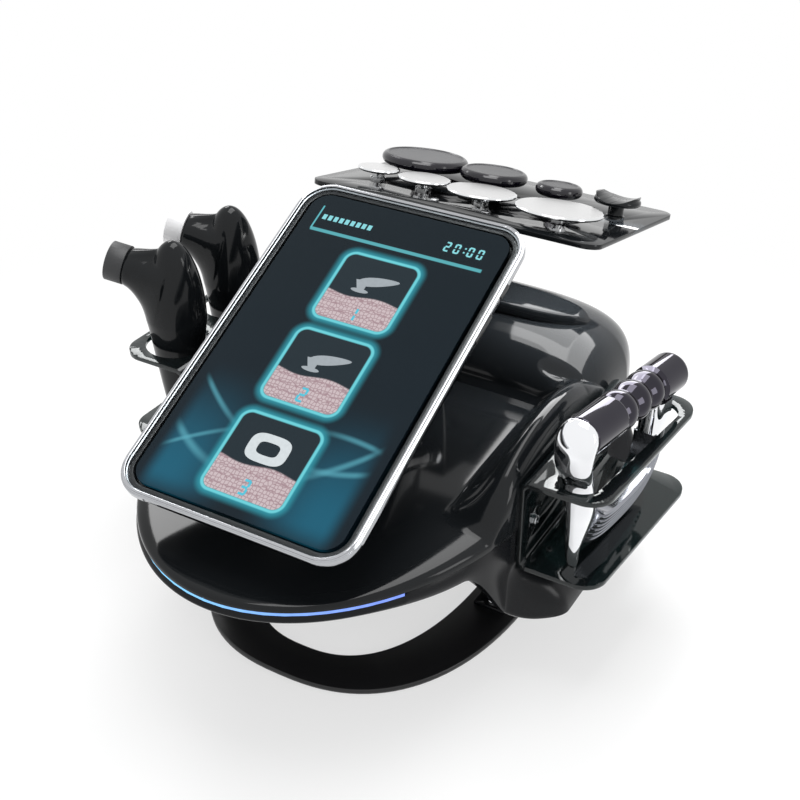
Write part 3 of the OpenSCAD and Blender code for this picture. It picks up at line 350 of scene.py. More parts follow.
@dataclass(frozen=True)
class Finish:
    """Surface finish that covers whole pieces.

    Attributes:
        name: Name of the material.
        colour: Linear base colour.
        roughness: Mean roughness.
        metallic: 1 for bare metal.
        texture: Fine relief.
        grain: Noise cells per metre of the fine relief.
        depth: Depth of the fine relief in metres.
        spread: How far the roughness wanders to each side.
        wear: How far the base colour wanders, as a share.
        specular: Strength of the dielectric reflection.
    """

    name: str
    colour: Colour
    roughness: float
    metallic: float = 0.0
    texture: Texture = Texture.GRAIN
    grain: float = 320.0
    depth: float = 0.00002
    spread: float = 0.02
    wear: float = 0.06
    specular: float = 0.5

    def material(self) -> bpy.types.Material:
        """Builds the finish as a procedural material.

        Returns:
            The material, made anew on the first call and reused after that.
        """
        if self.name in BUILT:
            return BUILT[self.name]
        material, n = new_material(self.name)
        BUILT[self.name] = material
        where = n.objects()
        broad = n.noise(where, 14.0, 3.0)
        if self.texture is Texture.BRUSHED:
            stretched = n.vmath("MULTIPLY", where, (self.grain * 0.03, self.grain, self.grain))
            fine = n.noise(stretched, 1.0, 4.0, 0.6)
        else:
            fine = n.noise(where, self.grain, 3.0, 0.55)
        wander = n.swing(broad, 2 * self.spread, self.roughness)
        low = tuple(v * (1 - self.wear) for v in self.colour)
        high = tuple(min(1.0, v * (1 + self.wear)) for v in self.colour)
        n.surface(
            "BsdfPrincipled",
            {
                "Base Color": n.mix(n.ramp(broad, 0.3, 0.7), low, high),
                "Roughness": n.swing(fine, self.spread, wander, clamp=True),
                "Metallic": self.metallic,
                "Specular IOR Level": self.specular,
                "Normal": n.bump(fine, 0.6, self.depth),
            },
        )
        return material


Look = Finish | bpy.types.Material


def as_material(look: Look) -> bpy.types.Material:
    """Returns a finish's material, or the material itself if it is one already."""
    return look.material() if isinstance(look, Finish) else look


GLOSS = Finish(
    "gloss_black", (0.0072, 0.0084, 0.0096), 0.09, grain=60.0, depth=0.000003, spread=0.01, specular=0.24
)
SATIN = Finish("satin_black", (0.006, 0.0066, 0.0078), 0.2, grain=240.0, depth=0.000006, specular=0.2)
FOOT_PAINT = Finish("foot_paint", (0.009, 0.009, 0.01), 0.34, grain=900.0, depth=0.00003)
POWDER = Finish("powder_black", (0.011, 0.011, 0.012), 0.3, grain=900.0)
GRAINED = Finish("grained_black", (0.013, 0.013, 0.014), 0.42, grain=1400.0, depth=0.00003)
RUBBER = Finish("rubber", (0.012, 0.012, 0.012), 0.75, grain=700.0, depth=0.00005)
STEEL = Finish("steel_bright", (0.62, 0.63, 0.65), 0.22, 1.0, Texture.BRUSHED, 1500.0)
DARK_STEEL = Finish("steel_black", (0.05, 0.05, 0.055), 0.3, 1.0, grain=900.0)
CHROME = Finish("chrome", (0.86, 0.87, 0.89), 0.035, 1.0, grain=60.0, spread=0.01)
DARK_CHROME = Finish("dark_chrome", (0.045, 0.043, 0.053), 0.06, 1.0, grain=60.0, spread=0.015)
BLADE = Finish("blade_chrome", (0.3, 0.31, 0.34), 0.12, 1.0, grain=200.0)
RIM = Finish("tablet_rim", (0.46, 0.47, 0.49), 0.1, 1.0, grain=80.0, spread=0.015)
ALLOY = Finish("alloy", (0.6, 0.61, 0.63), 0.33, 1.0, Texture.BRUSHED, 900.0)
COPPER = Finish("copper", (0.7, 0.32, 0.16), 0.3, 1.0, grain=1200.0)
BOARD = Finish("solder_mask", (0.01, 0.09, 0.035), 0.35, grain=800.0)
WHITE_BOARD = Finish("white_board", (0.8, 0.8, 0.77), 0.5, grain=700.0)
MATT_DARK = Finish("collar_matt", (0.028, 0.029, 0.031), 0.5, grain=1600.0)
WHITE = Finish("collar_white", (0.82, 0.82, 0.83), 0.3, grain=500.0)


# Mesh building


def grid_mesh(
    name: str, grid: Array, around: bool = False, first_cap: bool = False, last_cap: bool = False
) -> bpy.types.Mesh:
    """Makes a smooth quad mesh from a grid of points.

    Args:
        name: Name of the mesh.
        grid: Points in working millimetres, as rows by columns by 3.
        around: Whether the last column meets the first one.
        first_cap: Whether the first row is closed by one face.
        last_cap: Whether the last row is closed by one face.

    Returns:
        The mesh in metres of the shared frame.
    """
    rows, cols = grid.shape[:2]
    index = np.arange(rows * cols).reshape(rows, cols)
    if around:
        index = np.concatenate([index, index[:, :1]], axis=1)
    quads = np.stack([index[:-1, :-1], index[:-1, 1:], index[1:, 1:], index[1:, :-1]], axis=-1)
    faces: list[Sequence[int]] = quads.reshape(-1, 4).tolist()
    if first_cap:
        faces.append(np.arange(cols)[::-1].tolist())
    if last_cap:
        faces.append((np.arange(cols) + (rows - 1) * cols).tolist())
    mesh = bpy.data.meshes.new(name)
    mesh.from_pydata(to_row(grid.reshape(-1, 3)).tolist(), [], faces)
    mesh.validate()
    mesh.shade_smooth()
    return mesh


def sweep_rows(rings: Array, count: int) -> Array:
    """Draws extra rings between given ones along smooth cubic curves.

    Each point runs through its own places in the given rings. Between two rings the curve
    leaves and arrives along the line that joins the rings on each side.

    Args:
        rings: Points as rings by columns by 3.
        count: Number of steps between two given rings.

    Returns:
        The finer rings, the given ones included.
    """
    padded = np.concatenate([2 * rings[:1] - rings[1:2], rings, 2 * rings[-1:] - rings[-2:-1]])
    p0, p1, p2, p3 = (p[:, None] for p in (padded[:-3], padded[1:-2], padded[2:-1], padded[3:]))
    u = (np.arange(count) / count)[None, :, None, None]
    square = 2 * p0 - 5 * p1 + 4 * p2 - p3
    cube = 3 * p1 - p0 - 3 * p2 + p3
    curve = 0.5 * (2 * p1 + (p2 - p0) * u + square * u**2 + cube * u**3)
    return np.concatenate([curve.reshape(-1, *rings.shape[1:]), rings[-1:]])


def signed_power(value: Array, power: float) -> Array:
    """Raises the size of a value to a power and keeps its sign."""
    return np.sign(value) * np.abs(value) ** power


def cos_sin(degrees: float) -> tuple[float, float]:
    """Returns the cosine and the sine of an angle in degrees."""
    return math.cos(math.radians(degrees)), math.sin(math.radians(degrees))


def smooth_step(value: Array) -> Array:
    """Goes smoothly from 0 at 0 to 1 at 1."""
    v = np.clip(value, 0, 1)
    return v * v * (3 - 2 * v)


def hump(value: Array, start: float, rise: float, end: float, fall: float) -> Array:
    """Goes smoothly from 0 up to 1 from a start, and back to 0 from an end."""
    return smooth_step((value - start) / rise) * (1 - smooth_step((value - end) / fall))


def place(
    mesh: bpy.types.Mesh, body: str, look: Look, stands_for: Iterable[str] = ()
) -> bpy.types.Object:
    """Puts a new piece in the scene and lets it ride on a CAD body.

    Args:
        mesh: The piece's mesh, already in the shared frame.
        body: CAD body that carries the piece.
        look: Finish or material of the whole piece.
        stands_for: CAD nodes that the piece is shown in place of.

    Returns:
        The new object.
    """
    obj = bpy.data.objects.new(mesh.name, mesh)
    bpy.context.scene.collection.objects.link(obj)
    mesh.materials.append(as_material(look))
    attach(obj, body)
    if stands_for:
        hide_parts(*stands_for)
    return obj


def place_solid(
    name: str, rings: Array, body: str, look: Look, stands_for: Iterable[str] = (),
    sharp: float | None = None, first_cap: bool = True,
) -> None:
    """Makes a closed piece from a stack of rings and puts it in the scene.

    Args:
        name: Name of the piece.
        rings: Its points in working millimetres, as rings by columns by 3.
        body: CAD body that carries the piece.
        look: Finish or material of the whole piece.
        stands_for: CAD nodes that the piece is shown in place of.
        sharp: Edges that turn by more than this many degrees stay sharp.
        first_cap: Whether the first ring is closed too, and not only the last.
    """
    mesh = grid_mesh(name, rings, around=True, first_cap=first_cap, last_cap=True)
    if sharp:
        mesh.set_sharp_from_angle(angle=math.radians(sharp))
    place(mesh, body, look, stands_for)


def bevel(obj: bpy.types.Object, width: float) -> None:
    """Rounds a piece's sharp edges.

    Args:
        obj: The piece.
        width: Width of the rounding in millimetres.
    """
    weld = obj.modifiers.new("weld", "WELD")
    weld.merge_threshold = 2e-6
    mod = obj.modifiers.new("bevel", "BEVEL")
    mod.width = width * 0.001
    mod.segments = 2
    mod.limit_method = "ANGLE"
    mod.angle_limit = math.radians(SHARP_DEG)
    mod.harden_normals = True


def dress(nodes: str, look: Look, round_by: float = 0.0, flat: bool = False) -> None:
    """Gives CAD nodes a material, smooth shading and rounded edges.

    Args:
        nodes: Names of the CAD nodes, with spaces between them.
        look: Finish or material.
        round_by: Width of the rounding in millimetres, none at 0.
        flat: Whether every face keeps its own plane, as on a pane of glass.
    """
    for name in nodes.split():
        obj = FRAME["nodes"][name]
        mesh = obj.data
        mesh.materials.clear()
        mesh.materials.append(as_material(look))
        mesh.polygons.foreach_set("material_index", np.zeros(len(mesh.polygons), dtype=np.int32))
        if flat:
            mesh.shade_flat()
        else:
            mesh.shade_smooth()
            mesh.set_sharp_from_angle(angle=math.radians(SHARP_DEG))
        if round_by:
            bevel(obj, round_by)


class Part:
    """One sub assembly: pieces of its own, and looks for its CAD nodes.

    Attributes:
        looks: Names of CAD nodes, their finish and the width of their rounding.
    """

    looks: tuple[tuple[str, Finish, float], ...] = ()

    def build(self) -> None:
        """Makes the pieces that stand in for CAD nodes. There are none by default."""

    def dress(self) -> None:
        """Gives the CAD nodes in `looks` their finishes."""
        for nodes, finish, round_by in self.looks:
            dress(nodes, finish, round_by)


# Sub assemblies


class Casing(Part):
    """Lower and upper moulded casings with the light strip."""

    # Powers of the plan's super ellipse, of the arch across and of the roll down at each end
    front_power, rear_power = 2.0, 5.0
    arch_power = 4.0
    front_roll, rear_roll = 5.0, 3.2
    # Powers of the dome's rise, within it and over all
    dome_powers = (2.2, 1 / 1.9)
    # Middle and half length of the side cheeks, then their distance from the side and their fade
    cheek_y, cheek_x = (228, 104), (47, 36)
    # Half width of the finger well and its fade, then its middle, half length and fade
    well_x, well_y = (52, 34), (359, 8, 22)
    scoop_at, scoop_half, scoop_turn, scoop_depth = (121, 297), (19, 5.5), 6, 3.5
    # Where the side wings start or end, and over which length they grow or fade
    wing_front, wing_rear = (146, 34), (330, 60)
    lip_front_z, lip_flank_z, lip_rear_drop = 132.0, 127.5, 5
    # Share of the side wall's height at which it starts to flare out into the wing
    flare_start = 0.42
    # Share of the plan, share of the way to the belly, share of the wing's reach, and lift
    belly_rings = (
        (0.975, 0, 0.97, -2.5), (0.94, 0.05, 0.9, -2.0), (0.86, 0.42, 0.35, 0),
        (0.74, 0.84, 0, 0), (0.64, 1, 0, 0),
    )
    looks = (("led_board", WHITE_BOARD, 0.0),)

    def plan_half(self, y: Array) -> Array:
        """Half width of the body's plan: a super ellipse, cut flat by the side pads.

        Args:
            y: Depths in millimetres.

        Returns:
            Half widths in millimetres.
        """
        u = np.clip(np.abs(y - S.mid_y) / S.half_l, 0, 1)
        power = np.where(y < S.mid_y, self.front_power, self.rear_power)
        return np.minimum(S.pad_x, S.half_w * np.maximum(0, 1 - u**power) ** (1 / power))

    def plan_point(self, t: Array, out: Array | float = 0.0) -> tuple[Array, Array]:
        """Point of the body's plan in a direction from its middle, moved out by a distance."""
        c, s = np.cos(t), np.sin(t)
        power = np.where(s < 0, self.front_power, self.rear_power)
        r = 1 / ((np.abs(c) / S.half_w) ** power + (np.abs(s) / S.half_l) ** power) ** (1 / power) + out
        x = r * c
        y = S.mid_y + r * s
        return np.sign(x) * np.minimum(np.abs(x), S.pad_x + out), np.minimum(y, S.rear_y + out)

    def deck_z(self, y: Array) -> Array:
        """Height of the deck's middle line, a straight rise up to the ledge."""
        return S.seam_z + S.deck_front + (S.deck_rear - S.deck_front) * np.clip(y / S.ledge_y, 0, 1)

    def top_z(self, y: Array) -> Array:
        """Height of the middle line: the deck, then the dome's rise, rolled down at both ends."""
        u = np.clip((y - S.ledge_y) / (S.ridge_y - S.ledge_y), 0, 1)
        inner, outer = self.dome_powers
        dome = S.ledge_step + (S.dome_rise - S.ledge_step) * (1 - (1 - u) ** inner) ** outer
        dome = np.where(y > S.ledge_y, dome, 0.0)
        power = np.where(y < S.mid_y, self.front_roll, self.rear_roll)
        roll = np.maximum(0, 1 - np.clip(np.abs(y - S.mid_y) / S.half_l, 0, 1) ** power) ** (1 / power)
        return S.seam_z + np.maximum(0.3, (self.deck_z(y) + dome - S.seam_z) * roll)

    def surface_z(self, y: Array, a: Array, x: Array, w: Array) -> Array:
        """Height of the upper casing: a squared arch across, plus the side cheeks, less the finger well."""
        up = self.top_z(y) - S.seam_z
        rise = np.maximum(0, np.sin(a))
        lift = up * rise ** (2 / self.arch_power)
        u = (y - self.cheek_y[0]) / self.cheek_y[1]
        cheek = np.maximum(0, S.cheek_rise * np.sqrt(np.maximum(0, 1 - u**2)) - lift)
        inset, fade = self.cheek_x
        share = smooth_step((np.abs(x) - (w - inset)) / fade) * np.minimum(1, 1.3 * rise ** (1 / 3))
        (side, side_fade), (middle, half, fade) = self.well_x, self.well_y
        across = 1 - smooth_step((np.abs(x) - side) / side_fade)
        well = S.well_depth * across * (1 - smooth_step((np.abs(y - middle) - half) / fade))
        return S.seam_z + np.maximum(0, lift + cheek * share - well - self.scoop(x, y))

    def scoop(self, x: Array, y: Array) -> Array:
        """Depth of the leaf shaped scoop low on each side of the dome, steep along its lower edge."""
        c, s = cos_sin(self.scoop_turn)
        dx, dy = np.abs(x) - self.scoop_at[0], y - self.scoop_at[1]
        along = (dx * c + dy * s) / self.scoop_half[0]
        across = (dy * c - dx * s) / self.scoop_half[1]
        inside = np.maximum(0, 1 - along**2 - across**2)
        return self.scoop_depth * inside**0.5 * smooth_step((1 - across) / 1.5)

    def upper(self) -> Array:
        """Grid of the upper casing, with rows across the body and even steps along each arch."""
        turn = np.radians(np.concatenate([[0.12], np.linspace(0.8, 88, 60)]))
        depths = np.concatenate([S.mid_y - S.half_l * np.cos(turn), np.linspace(200, S.rear_y, 150)])
        # Steps are even along an arch of about the deck's width and height
        fine = np.linspace(0, math.pi, 4000)
        ex = 150 * signed_power(np.cos(fine), 2 / self.arch_power)
        ez = 60 * np.abs(np.sin(fine)) ** (2 / self.arch_power)
        run = np.concatenate([[0], np.cumsum(np.hypot(np.diff(ex), np.diff(ez)))])
        angles = np.interp(np.linspace(0, run[-1], 221), run, fine)
        y, a = np.meshgrid(depths, angles, indexing="ij")
        w = self.plan_half(y)
        x = w * signed_power(np.cos(a), 2 / self.arch_power)
        return np.stack([x, y, self.surface_z(y, a, x, w)], axis=-1)

    def wing(self, y: Array) -> Array:
        """Share of the side wing's reach at a depth, full beside the holders."""
        (start, rise), (end, fall) = self.wing_front, self.wing_rear
        grown = np.sin(np.radians(90 * np.clip((y - start) / rise, 0, 1)))
        return grown * (1 - smooth_step((y - end) / fall))

    def low_edge(self, y: Array) -> Array:
        """Height of the casing's lower edge, low at the wings and high at the front lip."""
        drop = hump(y, 96, 62, *self.wing_rear)
        front, flank = self.lip_front_z, self.lip_flank_z
        rear = (flank + self.lip_rear_drop - S.lip_z) * smooth_step((y - 340) / 50)
        full = front - (front - flank) * smooth_step((y - 20) / 75) - rear
        return full - (flank - S.wing_z) * drop

    def lower(self) -> Array:
        """Grid of the lower casing: groove, side wall with lip and wings, then the flat belly."""
        t = np.radians(-90 - np.arange(0, 360, 0.75))
        on_strip = np.cos(t + math.pi / 2) > math.cos(math.radians(S.strip_half_angle + 0.1))
        depth = np.where(on_strip, S.strip_d + 0.2, 0.8)
        height = np.where(on_strip, S.strip_h + 0.4, 1.0)
        rings = []
        under_seam = np.full_like(t, S.seam_z - 0.05)
        for out, z in ((-depth - 2.5, under_seam), (-depth, under_seam), (-depth, S.seam_z - height)):
            rings.append(np.stack([*self.plan_point(t, out), z], axis=-1))
        px, py = self.plan_point(t)
        pad = hump(py, 120, 30, 330, 30)
        for f in np.linspace(0, 1, 30):
            x, y = self.plan_point(t, S.lip_bulge * math.sin(math.radians(150 * f)) * (1 - pad))
            flare = math.sin(math.radians(90 * max(0.0, f - self.flare_start) / (1 - self.flare_start)))
            z = (1 - f) * (S.seam_z - height) + f * self.low_edge(y)
            rings.append(np.stack([x + np.sign(x) * S.wing_reach * self.wing(y) * flare, y, z], axis=-1))
        for s, f, reach, lift in self.belly_rings:
            x = px * s + np.sign(px) * S.wing_reach * self.wing(py) * reach
            z = (1 - f) * self.low_edge(py) + f * S.belly_z + lift
            rings.append(np.stack([x, S.mid_y + (py - S.mid_y) * s, z], axis=-1))
        return np.stack(rings)

    def build(self) -> None:
        """Makes the two casings in place of the CAD's coarser ones."""
        upper = place(grid_mesh("upper_cover", self.upper()), "base", GLOSS, ["upper_casing"])
        skin = upper.modifiers.new("wall", "SOLIDIFY")
        skin.thickness = 0.0025
        skin.offset = 0.0
        tub = self.lower()
        place_solid("lower_tub", tub, "base", SATIN, ["lower_casing"], sharp=60, first_cap=False)

    def light(self) -> bpy.types.Material:
        """Material of the light strip: pale blue that turns violet towards its right end."""
        material, n = new_material("strip_light")
        across = n.add("SeparateXYZ", {0: n.objects()}).outputs[0]
        colour = n.mix(n.ramp(across, -0.06, 0.13), (0.24, 0.62, 0.95), (0.2, 0.3, 0.85))
        glow = n.math("MULTIPLY_ADD", n.noise(n.objects(), 130.0, 1.0), 0.5, 1.1)
        n.surface("Emission", {"Color": colour, "Strength": glow})
        return material

    def dress(self) -> None:
        """Gives the light strip and its board their looks."""
        dress("light_strip", self.light())
        super().dress()


class Stand(Part):
    """Foot loop, its pads, the two support legs and their screws."""

    looks = (
        ("foot_loop", FOOT_PAINT, 1.2), ("foot_pads", RUBBER, 0.4), ("support_legs", SATIN, 1.0),
        ("leg_screws", STEEL, 0.0),
    )


class CarryHandle(Part):
    """Carrying handle on the dome: a lens shaped strap with a thick front wall."""

    length = 240.0
    width = 38.0
    thickness = 10.0
    rear_y = S.ridge_y + 5
    lift = 0.7
    round_r = 2.2
    chamfer = 0.3
    looks = (("handle_screws", DARK_STEEL, 0.0),)

    def __init__(self, casing: Casing) -> None:
        """Notes the casing that the strap lies on."""
        self.casing = casing

    def ridge(self, x: Array) -> Array:
        """Greatest height of the casing's arch under the strap at each place across."""
        best = np.zeros_like(x)
        power = self.casing.arch_power
        for y in np.arange(S.ridge_y - 33, S.ridge_y + 1, 3.0):
            depth = np.array([y])
            w = float(self.casing.plan_half(depth)[0])
            up = float(self.casing.top_z(depth)[0]) - S.seam_z
            best = np.maximum(best, S.seam_z + up * np.maximum(0, 1 - np.abs(x / w) ** power) ** (1 / power))
        return best

    def strap(self) -> Array:
        """Grid of the strap: a rounded section between a lens shaped front edge and a straight rear."""
        half = self.length / 2
        u = np.sin(np.radians(np.linspace(-89.5, 89.5, 121)))
        x = half * u
        front = self.rear_y - self.width * np.maximum(0, 1 - u**4) ** 0.5
        low = self.ridge(x) + self.lift
        top = low + self.thickness * np.sqrt(np.maximum(0.1, 1 - np.abs(u) ** 24))
        r = np.minimum(self.round_r, (self.rear_y - front) * 0.45)
        corner = np.radians(np.linspace(0, 90, 7))
        y1, edge = self.rear_y, self.chamfer
        rows = []
        for x_i, y0, z0, z1, q in zip(x, front, low, top, r):
            loop = [(y0, z0 + edge), (y0, z1 - q)]
            loop += [(y0 + q - q * math.cos(a), z1 - q + q * math.sin(a)) for a in corner]
            loop += [(y0 + (y1 - y0) * f, z1) for f in (0.3, 0.5, 0.7)]
            loop += [(y1 - q + q * math.sin(a), z1 - q + q * math.cos(a)) for a in corner]
            loop += [(y1, z0 + edge), (y1 - edge, z0), (y0 + edge, z0)]
            rows.append([(x_i, y, z) for y, z in loop])
        return np.array(rows)

    def build(self) -> None:
        """Makes the strap in place of the CAD's coarser one."""
        place_solid("strap", self.strap()[:, ::-1], "base", GLOSS, ["carry_handle"], sharp=50)


class Holders(Part):
    """Bent sheet holders of smoked acrylic on both sides, and their screws."""

    looks = (("holder_screws", STEEL, 0.0),)

    def sheet(self, tint: Colour, clear: float) -> bpy.types.Material:
        """Builds the sheets' material.

        Light goes straight through with a tint, and a share that grows towards grazing angles
        is mirrored, so a bent sheet looks dark with pale edges.

        Args:
            tint: Colour that one surface lets through.
            clear: Share of light that isn't stopped by the dark body.

        Returns:
            The material.
        """
        material, n = new_material("smoked_sheet")
        dust, smear = n.noise(n.objects(), 900.0, 3.0), n.noise(n.objects(), 22.0, 3.0)
        passed = n.add("BsdfTransparent", {"Color": tint})
        dark = n.add("BsdfDiffuse", {"Color": (0.008, 0.011, 0.012), "Roughness": 0.4})
        body = n.add("MixShader", {0: clear, 1: dark, 2: passed})
        rough, relief = n.math("MULTIPLY_ADD", smear, 0.05, 0.03), n.bump(dust, 0.2, 0.000004)
        shine = n.add("BsdfGlossy", {"Color": (0.95, 0.97, 0.97), "Roughness": rough, "Normal": relief})
        n.surface("MixShader", {0: n.front_fresnel(1.49), 1: body, 2: shine})
        return material

    def dress(self) -> None:
        """Gives the holders' CAD pieces their looks."""
        dress("left_holder right_holder", self.sheet((0.12, 0.19, 0.19), 0.42), 0.4)
        super().dress()


@dataclass
class Handpiece(Part):
    """One handpiece that stands in the left holder.

    Attributes:
        body: CAD body that carries it.
        y: Depth of its axis in millimetres.
        collar: Finish of the collar on its nozzle.
    """

    body: str
    y: float
    collar: Finish

    # Power of the flare, depth of the stem's section as a share of its width, and how far its
    # middle has moved away from the nozzle at the top
    grip_power, flatness, stem_lean = 0.85, 0.9, 3.6
    # How much the neck grows towards the stem, and the distance over which both blend
    under_growth, side_growth, soft = 44, 4, 6.0

    def stem_radius(self, h: Array) -> Array:
        """Radius of the handle and the head at a height: a slow flare, then a round top."""
        share = np.clip(h, 0, S.hand_wide_h) / S.hand_wide_h
        low = S.grip_end_r + (S.head_r - S.grip_end_r) * share**self.grip_power
        u = np.clip((h - S.hand_wide_h) / (S.hand_h - S.hand_wide_h), 0, 1)
        return np.where(h < S.hand_wide_h, low, S.head_r * np.sqrt(np.maximum(0, 1 - u**2)))

    def neck_reach(self, h: Array, a: Array, shift: Array) -> Array:
        """Distance from the handle's middle to the neck's skin in a direction.

        The neck runs along the nozzle's leaning axis. Its section is half a circle above the
        axis and a deep half ellipse below it, which grows towards the handle. Distances are
        tried from the middle outwards, and the last one inside the neck counts.

        Args:
            h: Heights above the end of the handle.
            a: Angles from the nozzle's direction.
            shift: Distance of the handle's middle from the axis at each height.

        Returns:
            Distances, 0 where the ray meets no neck.
        """
        cl, sl = cos_sin(S.nozzle_lean)
        reach = np.zeros_like(h)
        for r in np.linspace(1, 62, 245):
            x, y, z = shift - r * np.cos(a), r * np.sin(a), h - S.nozzle_h
            d = -x * cl + z * sl
            v = x * sl + z * cl
            q = 1 - d / S.neck_l
            tall = np.where(v > 0, S.nozzle_r, S.nozzle_r + self.under_growth * smooth_step(q / 1.25))
            side = S.nozzle_r + self.side_growth * smooth_step(q)
            inside = (d >= 0) & (d <= S.neck_l) & ((v / tall) ** 2 + (y / side) ** 2 < 1)
            reach = np.where(inside, r, reach)
        return reach

    def shell(self) -> Array:
        """Grid of the moulded shell: for each height and direction, the larger of handle and neck."""
        heights = np.concatenate([[8.0], np.linspace(8.3, S.hand_h - 0.4, 190), [S.hand_h]])
        turn = np.linspace(-math.pi, math.pi, 241)[:-1]
        h, a = np.meshgrid(heights, turn, indexing="ij")
        shift = self.stem_lean * h / S.hand_h
        stem = self.stem_radius(h) / np.sqrt(np.cos(a) ** 2 + (np.sin(a) / self.flatness) ** 2)
        neck = self.neck_reach(h, a, shift)
        blend = np.maximum(0, self.soft - np.abs(stem - neck)) / self.soft
        r = np.maximum(stem, neck) + np.where(neck > 0, blend**2 * self.soft * 0.25, 0)
        for _ in range(2):
            r[1:-1] = (r[:-2] + 2 * r[1:-1] + r[2:]) / 4
            r = (np.roll(r, 1, 1) + 2 * r + np.roll(r, -1, 1)) / 4
        r[-1] = 0.05
        x, y = shift - r * np.cos(a), r * np.sin(a)
        ct, st = cos_sin(S.hand_turn)
        return np.stack([-S.cup_x + x * ct - y * st, self.y + x * st + y * ct, S.seat_z + h], axis=-1)

    def build(self) -> None:
        """Makes the shell in place of the CAD's coarser one."""
        place_solid(f"{self.body}_skin", self.shell(), self.body, GLOSS, [f"{self.body}_shell"])

    def dress(self) -> None:
        """Gives the collar and the lead socket their looks."""
        dress(f"{self.body}_collar", self.collar, 0.6)
        dress(f"{self.body}_socket", GRAINED, 0.3)


